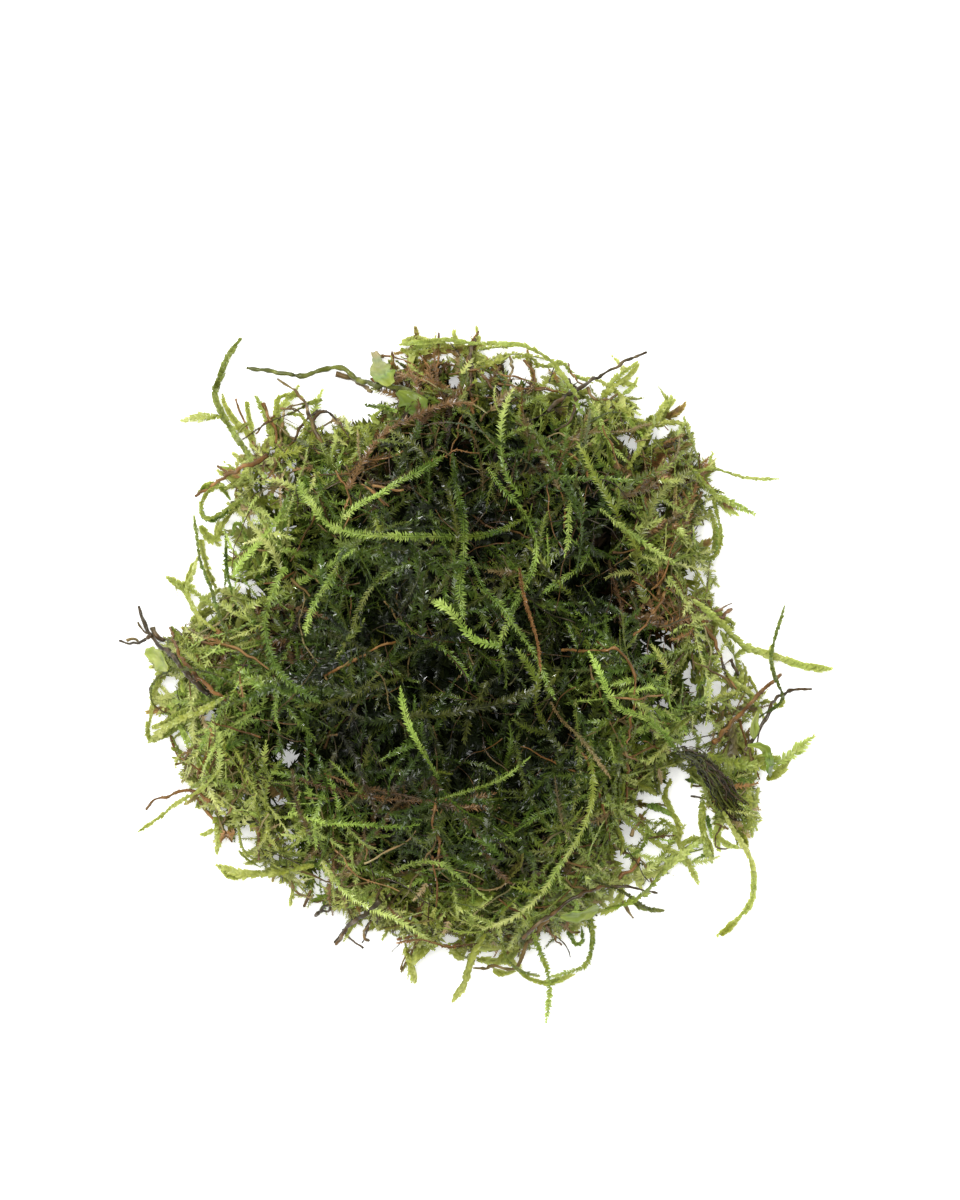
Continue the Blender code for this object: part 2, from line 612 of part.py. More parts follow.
def build():
    for obj in list(bpy.data.objects):
        bpy.data.objects.remove(obj)
    clump = new_collection("java_moss")
    guides = new_collection("strand_sections")
    fused = new_collection("fused_shoots")
    profiles = {kind: add_profile(kind, guides) for kind in SECTIONS}

    mass = add_mass(clump)
    fuse_shoots(mass, profiles, fused)
    add_material(mass, COLOURS["green"])

    ground = Ground(mass)
    for name, kind, colour, points in STRANDS:
        route = smooth_route(points, SECTIONS[kind][2])
        strand = add_strand(name, kind, lay_strand(ground, route, kind), profiles, clump)
        add_material(strand, COLOURS[colour])

    low, high = bounds(clump.objects)
    middle = (low + high) / 2
    for obj in [*clump.objects, *fused.objects]:
        obj.location -= Vector((middle.x, middle.y, 0))


build()
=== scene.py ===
"""Looks of a clump of java moss: leafy shoots, bare stems and leaf scraps on a pale table.

Places in this file are in millimetres along the frame's axes. Meshes are written in metres.
A strand is a row of stations along its length. Every mesh carries the UV map OFBake, whose
U is the tone, from dark to bright, and whose V is the hue, from bark through olive and green
to pale green.
"""

import json
import math

import bpy
import numpy as np
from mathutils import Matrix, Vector
from mathutils.bvhtree import BVHTree

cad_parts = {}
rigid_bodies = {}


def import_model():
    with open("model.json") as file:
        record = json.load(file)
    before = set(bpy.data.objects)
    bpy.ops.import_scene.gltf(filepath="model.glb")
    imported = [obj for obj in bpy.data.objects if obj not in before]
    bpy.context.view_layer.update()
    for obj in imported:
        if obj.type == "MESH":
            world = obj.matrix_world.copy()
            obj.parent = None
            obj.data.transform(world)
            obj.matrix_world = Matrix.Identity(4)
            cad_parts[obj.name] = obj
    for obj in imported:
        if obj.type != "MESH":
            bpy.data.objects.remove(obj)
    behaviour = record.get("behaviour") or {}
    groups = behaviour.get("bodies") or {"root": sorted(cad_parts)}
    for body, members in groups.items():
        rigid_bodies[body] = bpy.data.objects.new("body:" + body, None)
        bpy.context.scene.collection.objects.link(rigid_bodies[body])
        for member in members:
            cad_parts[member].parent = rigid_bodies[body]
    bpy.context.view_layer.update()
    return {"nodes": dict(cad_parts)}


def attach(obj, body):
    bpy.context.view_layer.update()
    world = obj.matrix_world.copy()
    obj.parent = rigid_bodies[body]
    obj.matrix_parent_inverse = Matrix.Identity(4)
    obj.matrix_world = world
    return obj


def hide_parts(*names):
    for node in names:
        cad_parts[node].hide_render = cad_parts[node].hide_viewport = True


for leftover in list(bpy.data.objects):
    bpy.data.objects.remove(leftover)
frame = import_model()
for loaded in bpy.data.objects:
    loaded.select_set(False)

MM = 0.001
SEED = 11

# The least height of any leaf or stem over the table, in mm.
LOWEST = 0.05

# Rows of the hue axis. The grey-green row between tan and olive paints the silvery sheen of wet
# leaves as well as pale bleached leaves.
BARK, RUST, TAN, WASHED_AND_SHEEN, OLIVE, GREEN, PALE = 0.0, 0.15, 0.3, 0.45, 0.6, 0.8, 1.0


# --- the clump's surface ------------------------------------------------------------------

# Where moss spills over the table around the clump: x, y, radius and height.
SPILLS = [(34.5, -10.5, 4.5, 4), (37, -14.5, 4.8, 3.5), (38.5, -19, 3.8, 2.5),
          (26, -25, 5, 3), (31.5, -26, 2.8, 2), (36.5, 26, 3.2, 3),
          (-24, 37.5, 4.5, 2.5), (-43, 3, 3.5, 2.5), (-42.5, -4.5, 4, 2.5)]


def unit(vectors):
    """Vectors made one long."""
    return vectors / np.maximum(np.linalg.norm(vectors, axis=-1, keepdims=True), 1e-9)


class Surface:
    """Height of the tangle over a grid in plan, and how far inside its outline a place is."""

    # Side of a cell and half the side of the grid, in mm.
    CELL = 1.0
    REACH = 62.0

    # Height in metres from which rays look down, and the least height in mm that is moss.
    RAY_START = 0.2
    LEAST_TOP = 0.2

    # Rounds of easing for the surface and for the crown that spans its hollows.
    SOFTENED = 2
    CROWN_SOFTENED = 24

    # How many cells inward and outward the inset is measured.
    FARTHEST = 60

    def __init__(self, node):
        axis = np.arange(-self.REACH, self.REACH + self.CELL, self.CELL)
        tree = BVHTree.FromObject(node, bpy.context.evaluated_depsgraph_get())
        down = Vector((0, 0, -1))
        top = np.zeros((len(axis), len(axis)))
        for row, y in enumerate(axis):
            for column, x in enumerate(axis):
                hit = tree.ray_cast(Vector((x * MM, y * MM, self.RAY_START)), down)[0]
                if hit:
                    top[row, column] = hit.z / MM
        spots_x, spots_y = np.meshgrid(axis, axis)
        for spill_x, spill_y, radius, height in SPILLS:
            away = np.hypot(spots_x - spill_x, spots_y - spill_y) / radius
            top = np.maximum(top, height * np.sqrt(np.clip(1 - away ** 2, 0, 1)))
        inside = top > self.LEAST_TOP
        self.height = self.blurred(top, self.SOFTENED)
        self.crown = self.blurred(top, self.CROWN_SOFTENED)
        self.inset = self.distance(inside) - self.distance(~inside)
        self.slope_y, self.slope_x = np.gradient(self.blurred(self.height, self.SOFTENED),
                                                 self.CELL)

    @staticmethod
    def blurred(grid, times):
        """A grid whose values are eased into their neighbours'."""
        for _ in range(times):
            for axis in (0, 1):
                grid = (np.roll(grid, 1, axis) + 2 * grid + np.roll(grid, -1, axis)) / 4
        return grid

    @classmethod
    def distance(cls, inside):
        """Distance in cells from the nearest place that isn't inside."""
        far = np.where(inside, 99.0, 0.0)
        for _ in range(cls.FARTHEST):
            for step, turns in ((1, ((0, 1), (1, 0), (0, -1), (-1, 0))),
                                (1.414, ((1, 1), (1, -1), (-1, 1), (-1, -1)))):
                for turn in turns:
                    far = np.minimum(far, step + np.roll(far, turn, (0, 1)))
        return far

    def sample(self, grid, x, y):
        """Bilinear values of a grid at places in plan."""
        last = grid.shape[0] - 1.001
        column = np.clip((x + self.REACH) / self.CELL, 0, last)
        row = np.clip((y + self.REACH) / self.CELL, 0, last)
        left, low = column.astype(int), row.astype(int)
        right_share, up_share = column - left, row - low
        under = grid[low, left] * (1 - right_share) + grid[low, left + 1] * right_share
        over = grid[low + 1, left] * (1 - right_share) + grid[low + 1, left + 1] * right_share
        return under * (1 - up_share) + over * up_share

    def normals(self, x, y):
        """Directions that point out of the surface."""
        out = np.stack([-self.sample(self.slope_x, x, y), -self.sample(self.slope_y, x, y),
                        np.ones_like(x)], axis=-1)
        return unit(out)


surface = Surface(frame["nodes"]["moss_tangle"])

# Open gaps through the clump near its rim: x, y and radius.
GAPS = [
    # top
    (3.4, 46.5, 1.3), (1.9, 46.9, 0.8), (6.1, 44.6, 0.9), (6, 43, 0.8), (7.6, 46.9, 0.8),
    (10.4, 45.4, 0.8), (14.4, 43.2, 0.9), (-3, 43, 0.7), (-4.3, 46.4, 0.6), (15.2, 38.7, 0.7),
    (9.1, 43.4, 0.5), (18.6, 41.6, 1.5), (17.4, 43, 0.8), (21.8, 33.8, 0.6), (23.1, 32.9, 0.5),
    (28.8, 36.2, 0.3), (26.4, 34.9, 0.5), (-13.4, 40.8, 0.9), (-11.8, 40.6, 0.6),
    (-21.4, 36.6, 0.8), (-25.4, 36.8, 1.7), (-26.6, 39.4, 1.2), (-31.4, 35, 0.8),
    (-33, 33.4, 0.5), (-26.3, 30, 0.5), (25.2, 38.6, 1.1), (-17, 40.8, 1.2),
    # left
    (-36.9, 26, 1.2), (-37.6, 24.6, 0.7), (-34.6, 22.2, 1), (-32.7, 21, 0.8), (-26.2, 22.3, 0.6),
    (-35.3, 19.8, 0.7), (-36.8, 17.4, 0.9), (-36.7, 15.5, 1.1), (-36.2, 13.6, 0.8),
    (-39, 13, 1.7), (-38.7, 10.3, 1.5), (-38.9, 15.8, 1), (-33, 13.4, 0.6), (-31.3, 12.2, 0.6),
    (-28.4, 16.2, 0.5), (-43.8, -1, 0.7), (-38, -5.2, 0.6), (-42.4, -8.5, 1),
    (-26.3, -10.7, 0.6), (-26.3, -12, 0.6), (-28.7, -11.5, 0.4), (-28.2, -17.5, 0.5),
    (-32.6, -23.4, 1.3), (-34.6, -25.3, 1.5), (-26.4, -23, 0.5), (-25.1, -24.5, 0.5),
    (-22, -28.9, 0.8), (-29, 24, 0.5),
    # right
    (27.5, 23.4, 0.5), (24, 5.5, 0.3), (26.7, 6.1, 0.7), (28.6, 4.1, 0.5), (31, -0.4, 0.8),
    (34.7, -1.1, 0.9), (36, 4.6, 1.4), (35.4, 7.3, 0.9), (36.7, 2.2, 1), (30.9, -9.6, 0.9),
    (26.5, -3.6, 0.6), (33.1, -7.2, 0.7), (40.7, -7.4, 0.6), (42, -13.8, 0.6),
    (24.6, -17.5, 0.9), (26, -17.7, 0.6), (33.9, -20.4, 0.5), (32.2, 13.6, 1.3), (33.6, 16.4, 1),
    (33.4, 20.6, 1), (24, -9, 0.4),
    # the large hole at the right and those below it
    (29.4, -15.6, 1.7), (31, -16.6, 1.5), (29.2, -18, 1.6), (31.3, -19.4, 1.6),
    (30.8, -21.6, 1.2), (30.4, -23, 0.7), (22.7, -22.4, 1.2), (27.2, -25.1, 1.4),
    (25.1, -25.4, 0.9), (32.4, -26, 0.8), (21.4, -26.6, 0.7), (35.8, -23, 0.6),
    (31.2, -27.9, 1.3), (20.9, -23.8, 0.7),
    # bottom
    (10.4, -37.8, 0.7), (12.9, -38.6, 1.1), (-15.6, -35.6, 0.6), (-4, -37.5, 0.5),
    (1.6, -40.2, 0.5), (16.4, -37.4, 0.9), (8, -40.6, 0.9), (7.6, -42.2, 0.6),
    (19.4, -34.2, 0.6),
    # notches in the outline, at the top, right, bottom and left
    (-6.4, 50.4, 0.9), (-2.8, 50.2, 0.9), (-24.4, 41, 0.5), (-23, 41.2, 0.9), (-20.4, 39.8, 1.3),
    (-18.4, 39.8, 1.2), (-17, 38, 1.3), (-14.8, 38.6, 1.2), (-12.4, 40.9, 0.4),
    (-31.4, 37.2, 0.9), (-33, 38.4, 0.8), (-34.6, 39.8, 0.7), (-31.6, 40.2, 0.6),
    (-29.4, 39.6, 0.5), (-38, 29.4, 0.6), (32.8, 35.8, 1.2), (33.2, 33.4, 1), (36.2, 32.6, 1.3),
    (36.8, 30.8, 1.3), (35.2, 28.2, 0.6), (38.4, 27.6, 1.4), (39.8, 26.4, 0.7),
    (38.4, 22.6, 1.2), (36.2, 22.8, 0.6), (36.8, 16.4, 0.8), (33, 15.6, 0.6), (31, 15.2, 0.3),
    (35.2, 12.4, 0.8), (36.6, 10.6, 0.6), (38.2, 8.2, 0.9), (39.4, 6.8, 0.8), (42.2, -16.6, 1.1),
    (42.6, -18.8, 1.5), (42.4, -21.2, 1.3), (42.4, -23.2, 0.7), (21.8, -22, 0.8),
    (24, -18.2, 0.6), (28.2, -15.4, 0.6), (26.6, -30.6, 0.7), (-5.4, -39.8, 0.7),
    (-7.4, -41, 0.5), (-3.4, -40, 0.4), (-12.2, -42.6, 0.7), (-8.6, -44.6, 0.7),
    (-12.6, -38.4, 0.7), (-14.2, -37.2, 0.6), (-10.8, -40.6, 0.5), (-16.6, -36.4, 0.6),
    (-19, -34.6, 0.6), (-21, -34.2, 0.6), (-23.4, -34.2, 0.8), (-27.2, -31.2, 0.7),
    (-29.4, -31.2, 0.8), (-40.4, -19.6, 0.7), (-39, -21.2, 0.7), (-42.4, -8.4, 0.5),
    (-45.6, -6.2, 0.5), (-42.2, 8.6, 1), (-44.4, 8, 0.5),
]

# The share of the shoots that cross the gaps, the rest end there.
GAP_CROSSERS = 0.1

# How far the leaves of the shoots beside a gap reach into it.
GAP_MARGIN = 0.4

# Dark pits, where the upper shoots are few and painted shade darkens the shoots: x, y and radius.
PITS = [(-4.3, 28.4, 2.4), (1.9, 22, 3.2), (6.4, 19, 2.2), (0.2, 18.2, 2),
        (-5.2, 1.5, 3.2), (1.9, -6.3, 3.4), (11, -8.4, 3.4), (-0.8, -11.5, 4.2),
        (-4.5, -9, 2.6), (6.4, 0.3, 2.4), (13.5, 4.4, 2.2), (-22, -11, 2.8),
        (17.5, 12.5, 2.4), (24, 30, 2), (-12, 8, 2.6), (-23, 19, 2.4),
        (6, 9.5, 2.2), (-10, 20, 2), (6, -16.5, 3), (-13, 30, 2.2),
        (1, 6, 2.2), (-32, -8.5, 1.6), (31, -0.5, 1.6)]

# Patches of another hue: x, y, radius, hue and how strongly it takes over. The grey-green
# patches are partly painted sheen.
PATCHES = [(5, 43, 6, RUST, 0.6), (-11, 44, 4, RUST, 0.8), (-6, 41, 6, RUST, 0.9),
           (27, 28, 6.5, RUST, 0.65), (-30, 32, 5, TAN, 0.5), (13, -28, 5, GREEN, 0.9),
           (-33, -4, 7, GREEN, 0.9), (-8, 5, 6, GREEN, 0.8), (26, -4, 6, GREEN, 0.8),
           (-32, 20, 5, GREEN, 0.6), (-20, -27, 6, GREEN, 0.8),
           (11, -27, 6, BARK, 0.6), (9, 32, 7, TAN, 0.45), (24, 13, 5, RUST, 0.5),
           (-14, 29, 5, RUST, 0.4), (29, 9, 5, RUST, 0.5), (-28, 6, 4, RUST, 0.45),
           (-12, -18, 5, TAN, 0.5), (22, 18, 5, TAN, 0.4), (3, 15, 6, WASHED_AND_SHEEN, 0.4),
           (-8, 12, 6, WASHED_AND_SHEEN, 0.45), (14, 4, 6, WASHED_AND_SHEEN, 0.4), (-16, -8, 6, WASHED_AND_SHEEN, 0.4),
           (14, -20, 6, WASHED_AND_SHEEN, 0.4), (-36, 3, 4, RUST, 0.4), (38, -8, 6, BARK, 0.5)]

# Where the clump lies lighter or darker: x, y, radius and how much.
SHADES = [(-7, 43, 8, -0.17), (4, 43, 6, -0.12), (14, 43, 6, -0.12), (-9, 33, 7, -0.22),
          (-9, 9, 8, -0.18), (-20, -2, 7, -0.18), (-9, -15, 7, -0.12), (14, -15, 7, -0.17),
          (26, -16, 5, -0.12), (-33, 20, 6, 0.42), (-21, 20, 7, 0.26), (-44, -4, 6, 0.46),
          (-32, -4, 6, 0.32), (27, -4, 7, 0.28), (-22, -25, 8, 0.22), (-22, -15, 7, 0.12),
          (14, -27, 6, 0.07), (3, -4, 6, -0.10), (2, -15, 6, 0.05), (-32, 8, 6, -0.20),
          (37, -26, 6, -0.14), (2, -27, 6, -0.12), (-9, 20, 6, -0.10), (-5, 2, 5, -0.10),
          (14, 8, 6, 0.09), (26, 8, 5, 0.12), (15, -2, 5, 0.13)]


# --- stations along a strand --------------------------------------------------------------

def smooth_row(values, times):
    """Eases values along their stations and keeps both ends."""
    for _ in range(times):
        inner = (values[:, :-2] + 2 * values[:, 1:-1] + values[:, 2:]) / 4
        values = np.concatenate([values[:, :1], inner, values[:, -1:]], axis=1)
    return values


class Strands:
    """A batch of strands with as many stations each: places, growing frames and tones."""

    def __init__(self, places, kept=None, tone=0.5, hue=GREEN, size=1.0, roll=0.0):
        self.places = places
        count, stations = places.shape[:2]
        self.kept = np.ones((count, stations), bool) if kept is None else kept
        self.tone = np.broadcast_to(np.asarray(tone, float), (count, stations)).copy()
        self.hue = np.broadcast_to(np.asarray(hue, float), (count, stations)).copy()
        self.size = np.broadcast_to(np.asarray(size, float), (count, stations)).copy()
        self.along = unit(np.gradient(places, axis=1))
        out = surface.normals(places[..., 0], places[..., 1])
        side = unit(np.cross(out, self.along))
        out = np.cross(self.along, side)
        roll = np.broadcast_to(np.asarray(roll, float), (count, stations))[..., None]
        self.side = np.cos(roll) * side + np.sin(roll) * out
        self.out = np.cos(roll) * out - np.sin(roll) * side

    def ends_share(self, reach):
        """1 along a strand, easing to 0 over the last stations before its tip."""
        left = np.cumsum(self.kept[:, ::-1], axis=1)[:, ::-1] - 1
        return np.clip(left / reach, 0, 1)


class Growth:
    """Vertices, triangles and OFBake places gathered for one piece."""

    # How far OFBake places stay inside the map's edge.
    UV_MARGIN = 0.004

    def __init__(self):
        self.places, self.faces, self.tones, self.total = [], [], [], 0

    def add(self, places, faces, tones):
        """Gathers triangles, and of their points only those that are used."""
        used, faces = np.unique(faces, return_inverse=True)
        self.places.append(places[used])
        self.tones.append(tones[used])
        self.faces.append(faces.reshape(-1, 3) + self.total)
        self.total += len(used)

    def piece(self, name, slot, finish, nodes):
        """The gathered growth as one object that rides on the clump."""
        places = np.concatenate(self.places) * MM
        places[:, 2] = np.maximum(places[:, 2], LOWEST * MM)
        faces = np.concatenate(self.faces)
        tones = np.concatenate(self.tones)
        mesh = bpy.data.meshes.new(name)
        mesh.vertices.add(len(places))
        mesh.vertices.foreach_set("co", places.ravel())
        mesh.loops.add(faces.size)
        mesh.loops.foreach_set("vertex_index", faces.ravel().astype(np.int32))
        mesh.polygons.add(len(faces))
        mesh.polygons.foreach_set("loop_start", np.arange(0, faces.size, 3, dtype=np.int32))
        mesh.polygons.foreach_set("use_smooth", np.full(len(faces), True))
        layer = mesh.uv_layers.new(name="OFBake")
        tones = np.clip(tones, self.UV_MARGIN, 1 - self.UV_MARGIN)
        layer.data.foreach_set("uv", tones[faces.ravel()].ravel())
        mesh.update(calc_edges=True)
        mesh.validate()
        mesh.materials.append(finish)
        piece = bpy.data.objects.new(name, mesh)
        bpy.context.scene.collection.objects.link(piece)
        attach(piece, "root")
        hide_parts(*nodes)
        print("piece", name, len(faces), "triangles")
        return piece


def tube(growth, strands, radius, sides=3, step=3, tone_shift=0.0):
    """Round stems through the stations, closed at both ends."""
    pick = np.arange(0, strands.places.shape[1], step)
    kept = strands.kept[:, pick]
    linked = kept[:, :-1] & kept[:, 1:]
    open_before = np.concatenate([np.zeros_like(linked[:, :1]), linked], axis=1)
    open_after = np.concatenate([linked, np.zeros_like(linked[:, :1])], axis=1)
    turn = math.tau * np.arange(sides) / sides
    radius = np.broadcast_to(radius, strands.kept.shape)[:, pick, None, None]
    ring = (np.cos(turn)[:, None] * strands.side[:, pick, None]
            + np.sin(turn)[:, None] * strands.out[:, pick, None])
    places = strands.places[:, pick, None] + radius * ring
    count, rings = kept.shape
    number = np.arange(count * rings * sides).reshape(count, rings, sides)
    near, far = number[:, :-1], number[:, 1:]
    near_next, far_next = np.roll(near, -1, 2), np.roll(far, -1, 2)
    walls = np.concatenate([np.stack([near, near_next, far_next], -1)[linked].reshape(-1, 3),
                            np.stack([near, far_next, far], -1)[linked].reshape(-1, 3)])
    caps = [walls]
    first, last = number[open_after & ~open_before], number[open_before & ~open_after]
    for corner in range(1, sides - 1):
        caps.append(first[:, [0, corner + 1, corner]])
        caps.append(last[:, [0, corner, corner + 1]])
    tone = strands.tone[:, pick, None] + tone_shift + 0.05 * np.cos(turn)
    row = strands.hue[:, pick, None] + 0.008 * np.sin(turn)
    tones = np.stack([tone, row], -1).reshape(-1, 2)
    growth.add(places.reshape(-1, 3), np.concatenate(caps), tones)


def as_arrays(model):
    """The corners and faces of a modelled object, which is then removed."""
    corners = np.array([tuple(vert.co) for vert in model.data.vertices])
    faces = np.array([tuple(face.vertices) for face in model.data.polygons])
    bpy.data.objects.remove(model)
    return corners, faces


def model_leaf():
    """One leaf, modelled once: 1 long along X and 1 wide, folded along its midrib."""
    bpy.ops.mesh.primitive_circle_add(vertices=4, radius=0.5, fill_type="NGON",
                                      location=(0.5, 0, 0))
    leaf = bpy.context.object
    bpy.ops.object.transform_apply(location=True, rotation=True, scale=True)
    bpy.ops.object.mode_set(mode="EDIT")
    bpy.ops.mesh.select_all(action="DESELECT")
    bpy.ops.object.mode_set(mode="OBJECT")
    for vert in leaf.data.vertices:
        vert.select = abs(vert.co.y) > 0.1
    bpy.ops.object.mode_set(mode="EDIT")
    bpy.ops.transform.translate(value=(-0.12, 0, 0.12))
    bpy.ops.mesh.select_all(action="INVERT")
    bpy.ops.mesh.vert_connect()
    bpy.ops.object.mode_set(mode="OBJECT")
    return as_arrays(leaf)


def model_tooth():
    """One small leaf seen as a tooth, modelled once: 1 long along X and 1 wide at its root."""
    bpy.ops.mesh.primitive_circle_add(vertices=3, radius=1 / math.sqrt(3), fill_type="NGON",
                                      location=(math.sqrt(3) / 6, 0, 0),
                                      rotation=(0, 0, -math.pi / 2))
    tooth = bpy.context.object
    bpy.ops.object.transform_apply(location=True, rotation=True, scale=True)
    tooth.scale.x = 2 / math.sqrt(3)
    bpy.ops.object.transform_apply(location=True, rotation=True, scale=True)
    return as_arrays(tooth)


LEAF, TOOTH = model_leaf(), model_tooth()

# How much leaves differ: in their angle to the stem, rise, lean and twist, in radians, then
# in tone and hue.
ANGLE_SPREAD, RISE_SPREAD, LEAN_SPREAD, TWIST_SPREAD = 0.14, 0.22, 0.5, 0.25
LEAF_TONES, LEAF_HUES = 0.055, 0.012

# How much lighter the young leaves of a tip are, and how much a leaf lightens to its point.
YOUNG_TONE, POINT_TONE = 0.10, 0.22

# Over how many stations the leaves of a tip close up, and their share of the full size.
TIP_STATIONS, YOUNG_SIZE = 6, 0.6


def leaves(growth, strands, chance, side, length, width, spread, lift, thin, wild,
           shape=LEAF):
    """A rank of leaves: side is +1 or -1 for the lateral ranks and 0 for the upper one.

    Thin is the share of the stations that bear a leaf, and wild scales how much leaves differ.
    """
    kept = strands.kept & (chance.random(strands.kept.shape) < thin)
    count = kept.sum()
    along, across, out = strands.along[kept], strands.side[kept], strands.out[kept]
    tip = strands.ends_share(TIP_STATIONS)[kept]
    angle = spread * (0.45 + 0.55 * tip) + wild * chance.normal(0, ANGLE_SPREAD, count)
    rise = lift + wild * chance.normal(0, RISE_SPREAD, count)
    if side == 0:
        lean = wild * chance.normal(0, LEAN_SPREAD, count)
        across = unit(np.sin(lean)[:, None] * across + 0.25 * np.cos(lean)[:, None] * out)
        side = 1
    aim = unit(np.cos(angle)[:, None] * along + side * np.sin(angle)[:, None] * across
               + np.sin(rise)[:, None] * out)
    broad = unit(np.cross(out, aim) + wild * chance.normal(0, TWIST_SPREAD, (count, 3)))
    broad = unit(broad - (broad * aim).sum(1, keepdims=True) * aim)
    face = np.cross(aim, broad)
    size = strands.size[kept] * (YOUNG_SIZE + (1 - YOUNG_SIZE) * tip)
    size = size * chance.uniform(0.75, 1.2, count)
    start = strands.places[kept] + along * wild * chance.uniform(-0.08, 0.08, (count, 1))
    corners, turns = shape
    x, y, z = corners.T
    places = (start[:, None] + (size * length)[:, None, None] * (
        x[:, None] * aim[:, None] + z[:, None] * face[:, None])
        + (size * width)[:, None, None] * y[:, None] * broad[:, None])
    tone = strands.tone[kept] + chance.normal(0, LEAF_TONES, count) + YOUNG_TONE * (1 - tip)
    row = strands.hue[kept] + chance.normal(0, LEAF_HUES, count)
    tones = np.stack([tone[:, None] + POINT_TONE * (x - 0.4),
                      row[:, None] + LEAF_HUES * y], -1)
    faces = turns + len(corners) * np.arange(count)[:, None, None]
    growth.add(places.reshape(-1, 3), faces.reshape(-1, 3), tones.reshape(-1, 2))


def leafy(growth, strands, chance, length, width, spread=0.95, stem=0.10, upper=0.4,
          wild=1.0, shape=TOOTH):
    """Shoots with two lateral ranks of leaves, a thinner upper rank and a stem."""
    for side in (1, -1):
        leaves(growth, strands, chance, side, length, width, spread, 0.1, 1.0, wild, shape)
    if upper:
        leaves(growth, strands, chance, 0, length * 0.8, width, 0.5, 0.35, upper, wild, shape)
    tube(growth, strands, stem * strands.size, tone_shift=0.06)


# --- shoots that fill the clump -----------------------------------------------------------

def nearness(x, y, centre_x, centre_y, radius):
    """1 at a centre in plan, falling smoothly to 0 outside a radius."""
    return np.exp(-((x - centre_x) ** 2 + (y - centre_y) ** 2) / radius ** 2)


def patchy(x, y):
    """Hue and its strength from the patches around places in plan."""
    hue, strength = np.full_like(x, GREEN), np.zeros_like(x)
    for *spot, patch_hue, most in PATCHES:
        near = most * nearness(x, y, *spot)
        hue = np.where(near > strength, patch_hue, hue)
        strength = np.maximum(strength, near)
    return hue, strength


def in_gap(x, y):
    """Whether places lie in one of the open gaps, which are uneven in outline."""
    inside = np.zeros(x.shape, bool)
    for gap_x, gap_y, radius in GAPS:
        turn = np.arctan2(y - gap_y, x - gap_x)
        uneven = (1 + 0.25 * np.sin(2 * turn + gap_x) + 0.22 * np.sin(3 * turn + gap_y)
                  + 0.12 * np.sin(5 * turn + gap_x))
        inside |= np.hypot(x - gap_x, y - gap_y) < (radius + GAP_MARGIN) * uneven
    return inside


def pit_share(x, y):
    """1 in the middle of a dark pit, falling to 0 outside it."""
    share = np.zeros_like(x)
    for pit in PITS:
        share = np.maximum(share, nearness(x, y, *pit))
    return share


def shade(x, y):
    """How much lighter or darker the shoots are around places in plan."""
    total = np.zeros_like(x)
    for *spot, change in SHADES:
        total += change * nearness(x, y, *spot)
    return total


def tuft_heading(x, y):
    """The way that the tufts lean, which turns slowly over the clump."""
    return (1.9 * np.sin(x / 8.5 + 0.6) + 1.7 * np.sin(y / 7.0 - 0.9)
            + 1.4 * np.sin((x - y) / 10.0 + 2.1) + 1.2 * np.sin((x + 2 * y) / 13.0))


# Half the side of the square in which shoots start, in mm.
FIELD = 60

# Fewer shoots start in the centre: from which inset on, and over how much more.
THIN_FROM, THIN_OVER = 8, 12


def scattered(chance, count, insets, flank, centre=1.0):
    """Places in plan between two insets, more where it is steep and fewer in the centre."""
    found = np.zeros((0, 2))
    while len(found) < count:
        spots = chance.uniform(-FIELD, FIELD, (count * 4, 2))
        x, y = spots.T
        slope = np.hypot(surface.sample(surface.slope_x, x, y),
                         surface.sample(surface.slope_y, x, y))
        inset = surface.sample(surface.inset, x, y)
        weight = (1 + flank * np.minimum(slope, 2.0)) / (1 + 2 * flank)
        weight = weight * (1 - (1 - centre) * np.clip((inset - THIN_FROM) / THIN_OVER, 0, 1))
        wanted = ((inset > insets[0]) & (inset < insets[1])
                  & (chance.random(len(x)) < weight) & ~in_gap(x, y))
        found = np.concatenate([found, spots[wanted]])
    return found[:count]


# How unevenly shoots sink into the clump along their length, and the share of their length
# at which their tip begins to lift.
SINK_SPREAD, TIP_SHARE = 0.06, 0.6


def wander(chance, starts, headings, stations, step, depth, bend=0.05, sway=0.11,
           overshoot=2.0, lift=0.0, taut=0):
    """Shoots that grow over and through the clump from their starts, as stations.

    A shoot turns steadily by its bend and to and fro by its sway. It ends where it has run
    past the rim by its overshoot, and lifts its tip. A taut shoot bridges the hollows that
    it crosses.
    """
    count = len(starts)
    spots, heading = starts.copy(), headings.copy()
    curve = chance.normal(0, bend, count)
    swing = chance.uniform(0.3, 1, count) * sway
    phase, rate = chance.uniform(0, math.tau, count), chance.uniform(0.3, 0.8, count)
    sink = chance.normal(0, SINK_SPREAD, count)
    ripple = chance.uniform(0.1, 0.7, count)
    reach = chance.uniform(0.1, 1.0, count) ** 1.5 * overshoot
    climb = chance.uniform(0.3, 1.0, count) * lift
    rows, deep = [], []
    for index in range(stations):
        length = index * step
        heading = heading + step * (curve + swing * np.sin(phase + rate * length))
        ahead = np.stack([np.cos(heading), np.sin(heading)], -1)
        slope = (surface.sample(surface.slope_x, *spots.T) * ahead[:, 0]
                 + surface.sample(surface.slope_y, *spots.T) * ahead[:, 1])
        rows.append(spots.copy())
        share = index / stations
        deep.append(depth + sink * length + ripple * np.sin(phase * 3 + 0.45 * length)
                    - climb * (max(0, share - TIP_SHARE) / (1 - TIP_SHARE)) ** 2)
        spots = spots + ahead * (step / np.sqrt(1 + np.minimum(slope ** 2, 9)))[:, None]
    plan = np.stack(rows, axis=1)
    x, y = plan[..., 0], plan[..., 1]
    height = surface.sample(surface.height, x, y) - np.stack(deep, axis=1)
    floor = chance.uniform(0.35, 1.6, (count, 1))
    height = smooth_row(np.maximum(height, floor), 8)
    if taut:
        height = smooth_row(np.maximum(height, smooth_row(height, taut)), 6)
    inset = surface.sample(surface.inset, x, y)
    crossing = chance.random((count, 1)) < GAP_CROSSERS
    lost = (inset < -reach[:, None]) | (in_gap(x, y) & ~crossing)
    kept = np.cumsum(lost, axis=1) == 0
    return np.concatenate([plan, height[..., None]], axis=-1), kept
